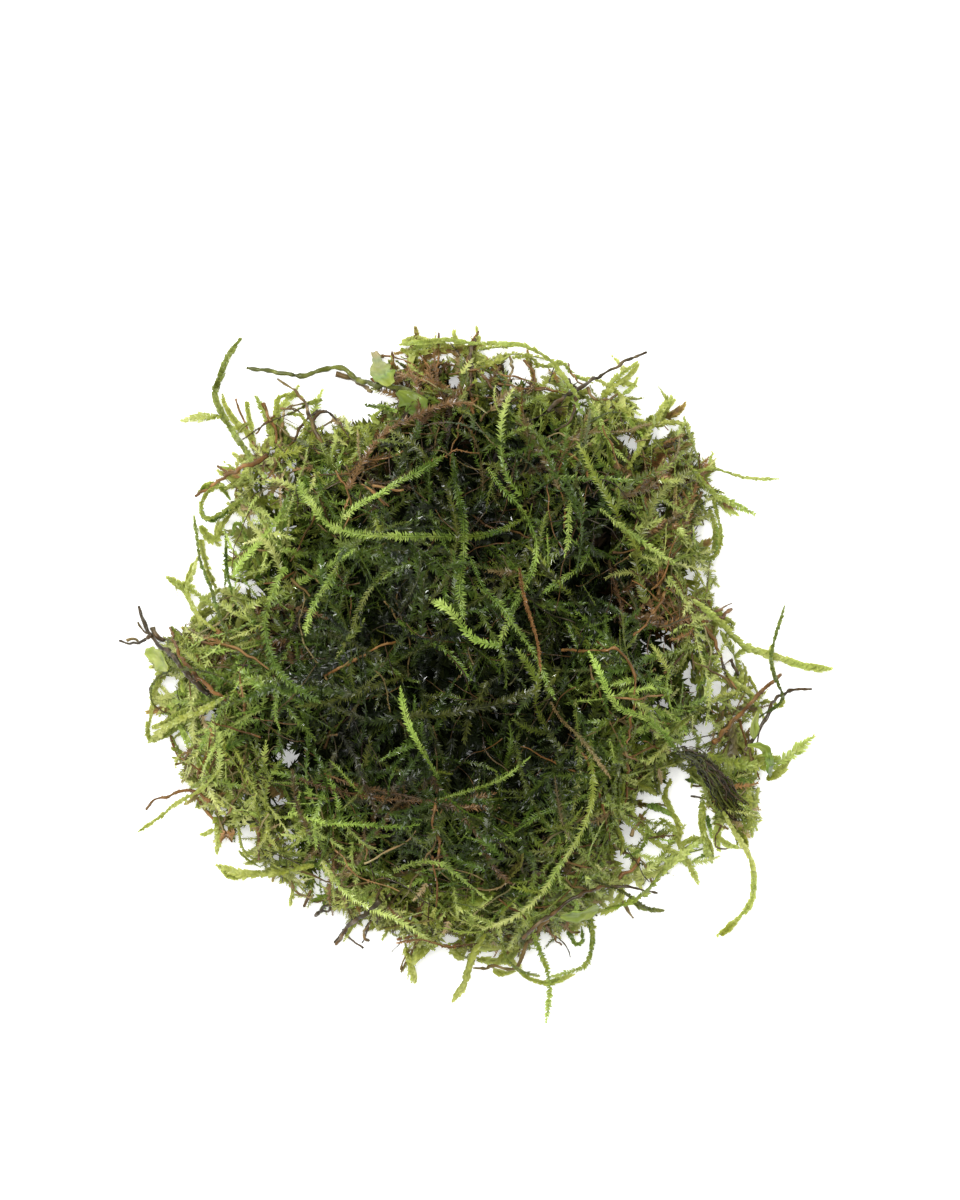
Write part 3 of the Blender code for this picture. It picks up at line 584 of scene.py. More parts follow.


# Tones of the shoots: the middle one, how much they differ, painted light added at the rim
# where light from the table shines through, painted shade in the centre, painted shade where a
# shoot lies deep below the crown, the lightening from its root to its tip, and painted shade in
# a dark pit.
BASE_TONE, TONE_SPREAD, RIM_LIGHT_TONE, CENTRE_SHADE_TONE = 0.34, 0.15, 0.40, -0.15
BURIED_SHADE_TONE, TIP_TONE, PIT_SHADE_TONE = -0.33, 0.14, -0.20

# How far in from the outline the rim's look, with its painted light, ends, and where the
# centre's painted shade and younger shoots begin and are full.
RIM_INSET, CENTRE_START, CENTRE_FULL = 15, 6, 15

# How deep below the crown a shoot counts as buried, which sets its painted shade.
BURIED_DEPTH = 6

# Hues of the shoots: what is added at the rim and how much they differ.
RIM_HUE, HUE_SPREAD = 0.20, 0.05

# Older shoots, and grey-green shoots that are partly painted sheen: a shoot drawn below a share
# takes the hue beside it, and the last one that fits counts. In the centre fewer shoots are
# older.
OLDER_SHOOTS = ((0.30, OLIVE + 0.07), (0.20, OLIVE), (0.12, TAN), (0.07, WASHED_AND_SHEEN),
                (0.05, BARK + 0.09), (0.02, RUST))
CENTRE_YOUNGER = 0.14

# The brightest tone of the grey-green shoots, whose colour is partly painted sheen.
WASHED_AND_SHEEN_MOST = 0.56


def moss_colours(chance, places, bright):
    """Tone and hue of shoots: green with painted shade inside, pale with painted light at the
    rim.
    """
    x, y, z = places[..., 0], places[..., 1], places[..., 2]
    count = len(places)
    inset = surface.sample(surface.inset, x, y)
    rim = np.clip(1 - inset / RIM_INSET, 0, 1) ** 1.15
    centre = np.clip((inset - CENTRE_START) / (CENTRE_FULL - CENTRE_START), 0, 1)
    buried_shade = np.clip((surface.sample(surface.crown, x, y) - z) / BURIED_DEPTH, 0, 1) ** 0.8
    share = np.linspace(0, 1, places.shape[1])
    # Painted light lifts the rim, and painted shade darkens the centre, buried shoots and pits.
    tone = (BASE_TONE + bright + chance.normal(0, TONE_SPREAD, (count, 1)) * (1 + 0.4 * rim)
            + RIM_LIGHT_TONE * rim + CENTRE_SHADE_TONE * centre
            + BURIED_SHADE_TONE * buried_shade * (1 - 0.75 * rim) + TIP_TONE * (share - 0.5)
            + PIT_SHADE_TONE * pit_share(x, y) + shade(x, y))
    row = GREEN + RIM_HUE * rim + chance.normal(0, HUE_SPREAD, (count, 1))
    patch, strength = patchy(x, y)
    taken = strength > chance.uniform(0.05, 1.0, (count, 1))
    row = np.where(taken, patch + chance.normal(0, HUE_SPREAD, (count, 1)), row)
    kind = chance.random((count, 1)) + CENTRE_YOUNGER * centre.mean(axis=1, keepdims=True)
    for below, hue in OLDER_SHOOTS:
        row = np.where(kind < below, hue, row)
    washed_and_sheen = np.abs(row - WASHED_AND_SHEEN) < 0.08
    return np.where(washed_and_sheen, np.minimum(tone, WASHED_AND_SHEEN_MOST), tone), row


# Side shoots: the stations between two of them and before a tip, and the share that grows.
SIDE_SPACING, BARE_TIP, SIDE_SHARE = 13, 6, 0.75


def side_shoots(chance, places, kept, stations, step, overshoot):
    """Short branches that leave longer shoots on alternate sides."""
    starts, headings, depth = [], [], []
    heading = np.arctan2(np.gradient(places[..., 1], axis=1),
                         np.gradient(places[..., 0], axis=1))
    under = surface.sample(surface.height, places[..., 0], places[..., 1]) - places[..., 2]
    for index in range(SIDE_SPACING, places.shape[1] - BARE_TIP, SIDE_SPACING):
        here = kept[:, index] & (chance.random(len(places)) < SIDE_SHARE)
        turn = chance.uniform(0.7, 1.2, here.sum()) * (1 if index // SIDE_SPACING % 2 else -1)
        starts.append(places[here, index, :2])
        headings.append(heading[here, index] + turn)
        depth.append(under[here, index])
    starts, headings, depth = map(np.concatenate, (starts, headings, depth))
    return wander(chance, starts, headings, stations, step, depth, bend=0.07,
                  overshoot=overshoot, lift=1.2)


# Strands with no more stations than this are left out.
FEWEST_STATIONS = 5


def batch(chance, places, kept, bright, size=1.0, roll_range=0.7, shorten=0.5):
    """Strands of moss from stations, cut to different lengths and coloured by place."""
    count, stations = kept.shape
    length = (chance.uniform(1 - shorten, 1, (count, 1)) * stations).astype(int)
    kept = kept & (np.arange(stations) < length)
    kept &= (kept.sum(axis=1) > FEWEST_STATIONS)[:, None]
    tone, hue = moss_colours(chance, places, bright)
    roll = chance.normal(0, roll_range, (count, 1)) + np.cumsum(
        chance.normal(0, 0.03, (count, stations)), axis=1)
    size = size * chance.uniform(0.65, 1.35, (count, 1))
    return Strands(places, kept, tone, hue, size, roll)


def grow_heart(chance, count, low_count, name, finish):
    """Old shoots deep inside, darkened with painted shade, and shoots that lie low all over the
    underside.
    """
    growth = Growth()
    starts = scattered(chance, count, (9.0, 99.0), 0.0)
    deep = chance.uniform(8, 24, count)
    places, kept = wander(chance, starts, chance.uniform(0, math.tau, count), 24, 1.1, deep,
                          overshoot=-7.0)
    shoots = batch(chance, places, kept, -0.2, roll_range=1.5, shorten=0.3)
    leafy(growth, shoots, chance, 2.3, 1.2, 0.8, 0.14, 0.5)
    starts = scattered(chance, low_count, (1.0, 99.0), 0.0)
    places, kept = wander(chance, starts, chance.uniform(0, math.tau, low_count), 40, 0.5,
                          surface.sample(surface.height, *starts.T)
                          - chance.uniform(0.4, 2.5, low_count), overshoot=0.5)
    places[..., 2] = np.minimum(places[..., 2], chance.uniform(0.5, 3.0, (low_count, 1)))
    shoots = batch(chance, places, kept, 0.2, roll_range=1.5)
    leafy(growth, shoots, chance, 1.0, 0.45, upper=0)
    return growth.piece(name, "moss_green", finish, ["moss_tangle"])


# Near the rim, within an inset, a share of the shoots fans outward.
FAN_INSET = 16.0
FAN_SHARE = 0.5

# How much the shoots of a tuft differ in heading, and the share that belongs to no tuft.
TUFT_SPREAD = 0.4
STRAY_SHARE = 0.3

# Over the middle of a pit, shoots that lie less deep than this end.
PIT_OPEN, SHALLOW = 0.75, 3.5


def downhill(starts):
    """Headings that lead down the clump's flank."""
    return np.arctan2(-surface.sample(surface.slope_y, *starts.T),
                      -surface.sample(surface.slope_x, *starts.T))


def grow_crown(chance, count, depth, name, finish, bright, stations=66, flank=1.0, upper=0.4,
               pit_thin=0.85, length=0.78, width=0.32, insets=(0.5, 99.0), centre=1.0,
               step=0.34, overshoot=2.0, taut=0, shorten=0.5):
    """One layer of the long shoots and their side shoots."""
    growth = Growth()
    starts = scattered(chance, count, insets, flank, centre)
    open_spot = chance.random(count) > pit_thin * pit_share(*starts.T)
    starts = starts[open_spot]
    count = len(starts)
    outward = downhill(starts)
    fanned = ((surface.sample(surface.inset, *starts.T) < FAN_INSET)
              & (chance.random(count) < FAN_SHARE))
    leaning = tuft_heading(*starts.T) + chance.normal(0, TUFT_SPREAD, count)
    headings = np.where(fanned, outward + chance.normal(0, 0.55, count), np.where(
        chance.random(count) < STRAY_SHARE, chance.uniform(0, math.tau, count), leaning))
    deep = chance.uniform(*depth, count)
    places, kept = wander(chance, starts, headings, stations, step, deep, lift=1.6,
                          overshoot=overshoot, taut=taut)
    shoots = batch(chance, places, kept, bright, shorten=shorten)
    if pit_thin:
        over_pit = pit_share(places[..., 0], places[..., 1]) > PIT_OPEN
        shoots.kept &= np.cumsum(over_pit & (deep[:, None] < SHALLOW)
                                 & (chance.random((count, 1)) < pit_thin), axis=1) == 0
    leafy(growth, shoots, chance, upper=upper, length=length, width=width)
    places, kept = side_shoots(chance, places, shoots.kept, 22, step, min(overshoot, 1.5))
    leafy(growth, batch(chance, places, kept, bright + 0.04, 0.85), chance, upper=upper,
          length=length, width=width)
    return growth.piece(name, "moss_green", finish, ["moss_tangle"])


def grow_rim(chance, count, name, finish):
    """Pale shoots that loop along the rim, low over the table, with open places between."""
    growth = Growth()
    step = 0.38
    starts = scattered(chance, count, (-0.5, 8.0), 0.0)
    headings = downhill(starts) + chance.choice([-1, 1], count) * chance.normal(1.3, 0.6, count)
    deep = surface.sample(surface.height, *starts.T) * chance.uniform(0.0, 0.9, count)
    places, kept = wander(chance, starts, headings, 46, step, deep, bend=0.09, sway=0.22,
                          overshoot=3.6, lift=1.0)
    shoots = batch(chance, places, kept, 0.10, 1.05, 1.0)
    leafy(growth, shoots, chance, 0.95, 0.62, 0.55, 0.12, 0.25, shape=LEAF)
    places, kept = side_shoots(chance, places, shoots.kept, 18, step, 3.0)
    leafy(growth, batch(chance, places, kept, 0.14, 0.85), chance, 0.9, 0.58, 0.55, 0.12, 0.2,
          shape=LEAF)
    return growth.piece(name, "moss_pale", finish, ["moss_tangle"])


# --- strands that stand out ---------------------------------------------------------------

def ring_centres(node):
    """Centres of a strand's sections, which have four corners each, from root to tip."""
    mesh = node.data
    corners = np.empty(len(mesh.vertices) * 3)
    mesh.vertices.foreach_get("co", corners)
    faces = np.empty(len(mesh.polygons) * 3, np.int32)
    mesh.polygons.foreach_get("vertices", faces)
    places, index = np.unique(np.round(corners.reshape(-1, 3) / MM, 3), axis=0,
                              return_inverse=True)
    faces = index.reshape(-1)[faces].reshape(-1, 3)
    linked = np.zeros((len(places), len(places)), bool)
    for near, far in ((0, 1), (1, 2), (2, 0)):
        linked[faces[:, near], faces[:, far]] = linked[faces[:, far], faces[:, near]] = True

    def rings_from(start):
        rings, seen = [start], np.zeros(len(places), bool)
        seen[start] = True
        while True:
            ring = linked[rings[-1]].any(axis=0) & ~seen
            if not ring.any():
                return rings
            seen |= ring
            rings.append(np.flatnonzero(ring))

    for corner in range(len(places)):
        away = np.linalg.norm(places - places[corner], axis=1)
        rings = [places[ring] for ring in rings_from(np.argsort(away)[:4])]
        if all(len(ring) == 4 for ring in rings):
            break
    else:
        raise ValueError(f"{node.name} has no sections of four corners")
    centres = np.array([ring.mean(axis=0) for ring in rings])
    widths = [np.linalg.norm(ring[:, None] - ring, axis=-1).max() for ring in rings]
    return centres[::-1] if widths[0] < widths[-1] else centres


def curve_through(points, step):
    """Evenly spaced stations on a smooth curve through points."""
    points = np.asarray(points, float)
    padded = np.concatenate([[2 * points[0] - points[1]], points,
                             [2 * points[-1] - points[-2]]])
    fine = []
    for before, start, end, after in zip(padded, padded[1:], padded[2:], padded[3:]):
        t = np.linspace(0, 1, 12, endpoint=False)[:, None]
        fine.append(0.5 * (2 * start + (end - before) * t
                           + (2 * before - 5 * start + 4 * end - after) * t ** 2
                           + (3 * start - before - 3 * end + after) * t ** 3))
    fine = np.concatenate([*fine, points[-1:]])
    run = np.concatenate([[0], np.cumsum(np.linalg.norm(np.diff(fine, axis=0), axis=1))])
    at = np.linspace(0, run[-1], max(4, round(run[-1] / step) + 1))
    return np.stack([np.interp(at, run, fine[:, axis]) for axis in range(3)], axis=-1)


def rough_row(chance, count, stations, knots, spread):
    """Smooth random values along strands, with a knot every few stations."""
    ends = chance.normal(0, spread, (count, stations // knots + 3))
    at = np.arange(stations) / knots
    low = at.astype(int)
    share = at - low
    share = share * share * (3 - 2 * share)
    return ends[:, low] * (1 - share) + ends[:, low + 1] * share


def frond(growth, chance, route, tone, hue, length, width, spread, rank_step, density=0.35,
          wild=1.0, upper=0.5, slim_root=0.7, fade=0.14):
    """One outstanding leafy shoot along a route."""
    places = curve_through(route, rank_step)[None]
    stations = places.shape[1]
    share = np.linspace(0, 1, stations)
    tone = tone + rough_row(chance, 1, stations, 8, 0.06) + fade * (share - 0.6)
    size = 1 + rough_row(chance, 1, stations, 5, 0.10)
    size = size * np.clip(slim_root + 1.2 * share, 0, 1)
    roll = rough_row(chance, 1, stations, 12, 0.25)
    hue = hue + rough_row(chance, 1, stations, 9, 0.03)
    strand = Strands(places, None, tone, hue, size, roll)
    leafy(growth, strand, chance, length, width, spread, 0.13, upper, wild, LEAF)
    leaves(growth, strand, chance, 0, length * 0.9, width, 0.8, 0.2, density, wild)


# How far bare stems kink off their route, in mm.
KINK = 0.12


def kinks(chance, count, stations, knots):
    """Small uneven steps off a route, with a knot every few stations."""
    return np.stack([rough_row(chance, count, stations, knots, KINK) for _ in range(3)],
                    axis=-1)


def twig(growth, chance, route, radius, tone, hue, scales, knot=0.30, bristle=1.5):
    """One bare stem along a route, with knots, small kinks and clinging scales."""
    places = curve_through(route, 0.3)[None]
    stations = places.shape[1]
    places = places + kinks(chance, 1, stations, 4)
    share = np.linspace(0, 1, stations)
    thick = radius * (1.1 - 0.45 * share) * (1 + rough_row(chance, 1, stations, 2, knot))
    thick = np.maximum(thick, radius * 0.4)
    tone = tone + rough_row(chance, 1, stations, 3, 0.12)
    hue = hue + rough_row(chance, 1, stations, 5, 0.03)
    strand = Strands(places, None, tone, hue, thick / radius, 0.0)
    tube(growth, strand, thick, 6, 1)
    for side in (1, -1, 0):
        leaves(growth, strand, chance, side, radius * bristle, radius * 0.8, 0.7, 0.2,
               scales, 1.6)


# Looks of each colour slot: hue and tone.
LOOKS = {"moss_green": (GREEN + 0.02, 0.56), "moss_bright": (GREEN + 0.07, 0.76),
         "moss_pale": (PALE - 0.04, 0.66), "moss_olive": (OLIVE + 0.05, 0.52),
         "stem_rust": (RUST + 0.02, 0.51), "stem_tan": (TAN, 0.5),
         "stem_dark": (BARK + 0.02, 0.46)}

# Looks of single strands: hue, tone, and the leaves' length, width, spread and spacing.
BROAD_RIBBON = (1.15, 0.85, 0.42, 0.34)
DENSE_FROND = (0.85, 0.22, 1.15, 0.24)
FINE_FROND = (0.8, 0.24, 0.9, 0.36)
THIN_SHOOT = (0.55, 0.18, 0.90, 0.32)
CLOSE_SHOOT = (0.60, 0.42, 0.55, 0.30)
STRAND_LOOKS = {
    "pale_frond_bottom": (PALE, 0.66, BROAD_RIBBON),
    "ribbon_hook_right_low": (PALE - 0.06, 0.80, (0.85, 0.62, 0.42, 0.34)),
    "long_pale_frond_right": (PALE - 0.07, 0.78, BROAD_RIBBON),
    "curved_shoot_left": (GREEN + 0.03, 0.66, DENSE_FROND),
    "spray_upper_left": (GREEN + 0.04, 0.66, DENSE_FROND),
    "arched_shoot_upper": (GREEN + 0.05, 0.66, DENSE_FROND),
    "central_shoot": (GREEN, 0.52, DENSE_FROND),
    "bright_tip_centre": (GREEN + 0.03, 0.84, (0.95, 0.32, 1.0, 0.34)),
    "bright_shoot_right": (GREEN + 0.01, 0.76, (0.75, 0.26, 1.0, 0.30)),
    "bright_shoot_left_low": (GREEN + 0.03, 0.80, (0.70, 0.28, 0.95, 0.30)),
    "rust_stem_centre": (RUST, 0.56, (0.48, 0.24, 0.8, 0.22)),
    "thin_shoot_low_centre": (GREEN + 0.04, 0.64, THIN_SHOOT),
    "pointed_shoot_left": (PALE - 0.04, 0.62, (1.05, 0.6, 0.6, 0.36)),
    "broad_frond_bottom_left": (PALE - 0.02, 0.62, (1.15, 0.7, 0.6, 0.36)),
    "feathery_shoot_right": (PALE - 0.04, 0.66, (1.15, 0.5, 0.9, 0.36)),
    "diagonal_shoot_right_low": (PALE - 0.06, 0.66, (1.05, 0.6, 0.7, 0.34)),
    "hooked_shoot_top_left": (OLIVE + 0.06, 0.60, (0.9, 0.7, 0.5, 0.28)),
    "side_shoot_top_left": (PALE - 0.02, 0.66, (1.0, 0.7, 0.6, 0.42)),
    "slim_shoot_left_edge": (OLIVE + 0.10, 0.52, CLOSE_SHOOT),
    "curled_shoot_left": (PALE - 0.10, 0.56, CLOSE_SHOOT),
    "forked_shoot_left": (PALE - 0.04, 0.66, CLOSE_SHOOT),
    "slim_shoot_left_low": (PALE - 0.06, 0.60, CLOSE_SHOOT),
    "bottom_loop_right": (PALE - 0.08, 0.58, (0.7, 0.36, 0.8, 0.34)),
    "bottom_loop_left": (PALE - 0.08, 0.58, (0.7, 0.36, 0.8, 0.34)),
    "bottom_shoot": (PALE - 0.06, 0.64, (0.75, 0.36, 0.9, 0.34)),
    "leafy_shoot_right_low": (PALE - 0.08, 0.58, (0.8, 0.5, 0.7, 0.34)),
    "long_shoot_top": (PALE - 0.09, 0.70, (0.85, 0.55, 0.45, 0.30)),
    "thin_shoot_right_top": (PALE - 0.06, 0.62, CLOSE_SHOOT),
    "leafy_tip_right_top": (PALE - 0.04, 0.64, (0.8, 0.42, 0.8, 0.34)),
    "bent_shoot_right_top": (PALE - 0.06, 0.60, CLOSE_SHOOT),
    "wiry_loop_left": (OLIVE + 0.05, 0.45, (0.45, 0.28, 0.6, 0.30)),
    "thin_stem_right": (OLIVE + 0.10, 0.46, (0.50, 0.40, 0.5, 0.26)),
    "olive_shoot_bottom_right": (OLIVE, 0.45, CLOSE_SHOOT),
    "rust_shoot_bottom": (RUST + 0.03, 0.55, (0.55, 0.32, 0.7, 0.32)),
    "tan_stem_centre": (TAN + 0.03, 0.55, (0.6, 0.26, 0.8, 0.34)),
}

# A shoot with leaves wider than this is a dense flat ribbon.
RIBBON_WIDTH = 0.8

# How much single strands lighten from their root to their tip.
FADES = {"spray_upper_left": -0.45, "curved_shoot_left": 0.9, "bright_shoot_left_low": 0.5,
         "hooked_shoot_top_left": -0.1}

# Looks of single bare stems: hue and tone.
STEM_LOOKS = {"long_stem_top_left": (OLIVE - 0.04, 0.46), "drooping_stem_top_left": (TAN, 0.42),
              "dark_twig_top_right": (BARK, 0.48), "dark_twig_left": (BARK + 0.01, 0.42)}

# Radii of single bare stems, in mm.
STEM_RADII = {"rust_stem_centre": 0.22, "long_stem_top_left": 0.44, "dark_twig_left": 0.38,
              "dark_twig_top_right": 0.30, "rust_stem_left_edge": 0.34,
              "folded_tan_stem": 0.34, "dark_twig_bottom": 0.36, "rust_stem_right": 0.36,
              "curled_stem_right": 0.30, "dark_stem_bottom_right": 0.28}
PLAIN_RADIUS = 0.26

# How far single shoots run on past their solid's root, onto the shoot that carries them, in mm.
REACHES = {"side_shoot_top_left": 1.3}


def slot_of(node):
    """The colour slot of a node, without the suffix of a copied material's name."""
    return node.material_slots[0].material.name.split(".")[0]


def dress_strand(growth, chance, node):
    """The detailed strand in place of a node's plain solid."""
    name, slot = node.name, slot_of(node)
    hue, tone = LOOKS[slot]
    centres = ring_centres(node)
    centres[0] += REACHES.get(name, 0) * unit(centres[0] - centres[1])
    if name in STRAND_LOOKS:
        hue, tone, (length, width, spread, spacing) = STRAND_LOOKS[name]
        ribbon = width > RIBBON_WIDTH
        frond(growth, chance, centres, tone, hue, length, width, spread, spacing,
              density=1.0 if ribbon else 0.35, wild=0.5 if ribbon else 0.9,
              upper=1.0 if ribbon else 0.6,
              fade=FADES.get(name, 0.14 if slot == "moss_pale" else 0.40))
    elif slot.startswith("stem"):
        bristly = slot == "stem_rust"
        hue, tone = STEM_LOOKS.get(name, (hue, tone))
        twig(growth, chance, centres, STEM_RADII.get(name, PLAIN_RADIUS), tone, hue,
             0.9 if bristly else 0.35, knot=0.18, bristle=2.0 if bristly else 1.4)
    else:
        frond(growth, chance, centres, tone, hue, *FINE_FROND)


# How many fibres the bundle has.
FIBRE_COUNT = 110


def fibre_bundle(growth, chance, node):
    """Dark fibres that run together, cross and fray at both ends."""
    centres = ring_centres(node)
    core = curve_through(centres, 0.4)
    stations, count = len(core), FIBRE_COUNT
    share = np.linspace(0, 1, stations)
    fray = 0.45 + 0.75 * np.clip(share - 0.25, 0, 1) + 0.5 * np.clip(0.15 - share, 0, 1)
    across = chance.normal(0, 0.42, (count, 1)) * fray * 2.0
    across = across + rough_row(chance, count, stations, 5, 0.35)
    high = chance.uniform(-1, 1, (count, 1)) + rough_row(chance, count, stations, 5, 0.3)
    guide = Strands(core[None])
    places = (core[None] + across[..., None] * guide.side
              + high[..., None] * np.array([0, 0, 1.0]))
    places[..., 2] = np.maximum(places[..., 2], 0.3)
    begin = chance.integers(0, stations // 2, (count, 1))
    kept = (np.arange(stations) >= begin) & (
        np.arange(stations) < stations - chance.integers(0, stations // 3, (count, 1)))
    kept &= (kept.sum(axis=1) > FEWEST_STATIONS)[:, None]
    tone = chance.uniform(0.05, 0.6, (count, 1)) ** 1.3 + rough_row(chance, count, stations, 3,
                                                                   0.08)
    hue = np.where(chance.random((count, 1)) < 0.6, OLIVE, BARK + 0.04)
    fibres = Strands(places, kept, tone, hue)
    tube(growth, fibres, chance.uniform(0.05, 0.15, (count, 1)), 4, 1)
    leaves(growth, fibres, chance, 1, 0.5, 0.25, 0.6, 0.1, 0.10, 2)


# Half widths of the leaf scraps, in mm.
SCRAP_WIDTHS = {"leaf_left": 1.3, "leaf_top": 1.55, "leaf_top_folded": 1.7, "leaf_bottom": 1.6,
                "leaf_right_blade": 0.75, "leaf_right_round": 0.8}

# Hue and tone of each leaf scrap at its root and at its tip.
SCRAP_LOOKS = {"leaf_left": (PALE - 0.08, 0.62, PALE - 0.06, 0.68),
               "leaf_top": (PALE - 0.06, 0.60, TAN + 0.05, 0.86),
               "leaf_top_folded": (PALE - 0.08, 0.46, GREEN + 0.04, 0.42),
               "leaf_bottom": (PALE - 0.10, 0.70, PALE - 0.10, 0.64),
               "leaf_right_blade": (OLIVE + 0.12, 0.60, PALE - 0.08, 0.62),
               "leaf_right_round": (PALE - 0.08, 0.66, PALE - 0.08, 0.62)}

# Share of a leaf scrap's half width at its root, along it and at its tip.
SCRAP_SHAPES = {"leaf_top": (0.45, 0.95, 1.05, 0.85, 0.55, 0.50, 0.30),
                "leaf_top_folded": (0.25, 0.55, 0.80, 1.00, 1.10, 1.05, 0.70)}
PLAIN_SCRAP = (0.28, 0.72, 0.95, 1.00, 0.92, 0.68, 0.25)

# Thickness of the leaf scraps in mm, and the points that span one from side to side.
SCRAP_THICKNESS = 0.12
POINTS_ACROSS = 9


def leaf_scrap(growth, chance, node):
    """A broad curved leaf scrap with a soft uneven rim."""
    centres = ring_centres(node)
    spine = curve_through(centres, 0.25)
    stations = len(spine)
    guide = Strands(spine[None])
    share = np.linspace(0, 1, stations)
    shape = SCRAP_SHAPES.get(node.name, PLAIN_SCRAP)
    wide = SCRAP_WIDTHS[node.name] * np.interp(share, np.linspace(0, 1, len(shape)), shape)
    wide = smooth_row(wide[None], 3)[0]
    across = np.linspace(-1, 1, POINTS_ACROSS)
    left = 1 + rough_row(chance, 1, stations, 3, 0.16)[0]
    right = 1 + rough_row(chance, 1, stations, 3, 0.16)[0]
    reach = np.where(across[None] < 0, left[:, None], right[:, None]) * across
    bend = 0.5 * np.abs(across) - 0.25
    ripple = rough_row(chance, POINTS_ACROSS, stations, 4, 0.14).T
    places = (spine[:, None] + (wide[:, None] * reach)[..., None] * guide.side[0][:, None]
              + ((bend + ripple) * wide[:, None] * 0.6)[..., None] * guide.out[0][:, None])
    root_hue, root_tone, tip_hue, tip_tone = SCRAP_LOOKS[node.name]
    hue = (root_hue + (tip_hue - root_hue) * share)[:, None]
    tone = (root_tone + (tip_tone - root_tone) * share)[:, None]
    number = np.arange(stations * POINTS_ACROSS).reshape(stations, POINTS_ACROSS)
    near, far = number[:-1], number[1:]
    faces = np.concatenate([
        np.stack([near[:, :-1], far[:, :-1], far[:, 1:]], -1).reshape(-1, 3),
        np.stack([near[:, :-1], far[:, 1:], near[:, 1:]], -1).reshape(-1, 3)])
    vein = 0.06 * np.abs(across) + 0.03 * np.cos(across * 14)
    tones = np.stack(np.broadcast_arrays(
        tone - 0.04 + vein + rough_row(chance, POINTS_ACROSS, stations, 4, 0.06).T,
        hue - 0.02 + 0.02 * across + rough_row(chance, 1, stations, 5, 0.02).T), -1)
    top = places.reshape(-1, 3)
    below = top - SCRAP_THICKNESS * np.repeat(guide.out[0], POINTS_ACROSS, axis=0)
    size = len(top)
    edge = np.concatenate([number[:, 0], number[-1, 1:], number[-2::-1, -1],
                           number[0, -2:0:-1]])
    onward = np.roll(edge, -1)
    rim = np.concatenate([np.stack([edge, edge + size, onward + size], -1),
                          np.stack([edge, onward + size, onward], -1)])
    growth.add(np.concatenate([top, below]),
               np.concatenate([faces[:, ::-1], faces + size, rim[:, ::-1]]),
               np.concatenate([tones.reshape(-1, 2), tones.reshape(-1, 2) - (0.05, 0)]))


# Shoots that are fused to the tangle at its rim: routes in plan, by colour slot.
RIM_SHOOTS = {
    "moss_green": [
        ((-26, 30), (-29, 34.5), (-30, 37.5), (-31.5, 40.5)), ((17, -29), (21.5, -29), (24, -26)),
        ((31, 6), (33.5, 12), (34, 17)), ((31, 27), (32.5, 31), (31.5, 34), (30.5, 37.5)),
    ],
    "moss_pale": [
        ((-29, 33), (-29, 37), (-27, 40), (-25.5, 42)),
        ((-8, 40), (-9, 44.5), (-8.5, 47.5), (-4.5, 48.5)), ((-37, 10), (-41.5, 13), (-44, 14.5)),
        ((-36, -13.5), (-41.5, -12), (-44, -8)), ((-5.5, -33), (-8.5, -40), (-9, -44)),
        ((19, -18), (25, -23), (30.5, -26.5), (32.5, -29.5)),
        ((34, 0), (38, -1), (40.5, -3.5), (42, -6)), ((16, 36), (20, 42.5), (23.5, 45.5)),
        ((22, 30), (27, 38.5), (28.5, 40.5)),
    ],
    "stem_rust": [
        ((-28, 28), (-31.5, 33), (-33, 36.5), (-34.5, 40.5)), ((22, -10), (22, -17), (21, -21)),
        ((28, 7), (33.5, 9), (37.5, 10.5)), ((0, 38), (-1, 45), (0.5, 50)),
        ((-5, 40), (-5.2, 45), (-5, 50)),
    ],
    "stem_tan": [
        ((-28, 33), (-27.5, 38.5), (-25, 39.5), (-22, 40.5)),
        ((-32, -14), (-36, -20.5), (-37, -25)), ((-4.5, -34), (-8, -38), (-10.5, -42.5)),
        ((20, -24), (24.5, -27), (26, -30)),
    ],
    "stem_dark": [
        ((-26, 34), (-24, 37.5), (-21.5, 38.5), (-20, 37.5), (-18, 34.5)),
        ((-16, -28), (-20.5, -33), (-23, -34.5)), ((-12, -31), (-15, -35), (-16, -38.5)),
    ],
}

# Shoots that are fused to the top of the tangle and arch over it, as above.
ARCHED_SHOOTS = {
    "moss_bright": [
        ((7, 12), (5.5, 9.5), (4.5, 7), (3.5, 4.5)),
        ((14, 26), (13.5, 23), (13.5, 20), (13, 17.5)),
        ((16.5, 40), (18, 37), (19.5, 33.5), (22, 31)),
    ],
    "moss_green": [
        ((10, 29), (14, 28.5), (19, 28.5), (24, 28)), ((17, 19), (15, 16), (12.5, 14), (9.5, 12)),
        ((13.5, -18), (9.5, -19.5), (6.5, -21.5), (1, -25)),
        ((-11, 8.5), (-8, 6), (-4, 4), (-0.5, 0)),
    ],
    "moss_olive": [
        ((14.5, -3), (15, -9), (15, -14.5), (14, -19.5)),
        ((32.5, 28.5), (32, 24), (30.5, 20.5), (27.5, 17.5), (25, 14.5)),
        ((-11.5, 16), (-14.5, 13), (-16.5, 9.5), (-17.5, 6), (-19.5, 3)),
    ],
    "stem_rust": [
        ((14.5, -9.5), (17, -13), (18.5, -18), (19.5, -23.5)),
        ((-5.5, -17.5), (-6, -20.5), (-5, -23.5), (-5, -27)), ((28, 13), (26, 9.5), (23, 6)),
        ((12.5, 4), (17, 4), (20.5, 4), (22.5, 1.5), (23, -1.5), (22, -9.5)),
        ((-21, 0.5), (-16.5, 3), (-13.5, 4.5), (-10.5, 5.5)),
    ],
    "stem_dark": [
        ((-25, -14.5), (-20, -16), (-14, -17), (-8, -17.5), (-2, -17.5), (3, -16.5)),
        ((-22, -13.5), (-16, -15.5), (-10, -16.6), (-3, -18.4), (4, -18.4)),
        ((-1.5, -20), (1, -23), (2.5, -26.5), (5.5, -29.5)),
        ((-30, 9.5), (-27.5, 10.2), (-24.5, 9.8), (-21, 8.6)),
    ],
}

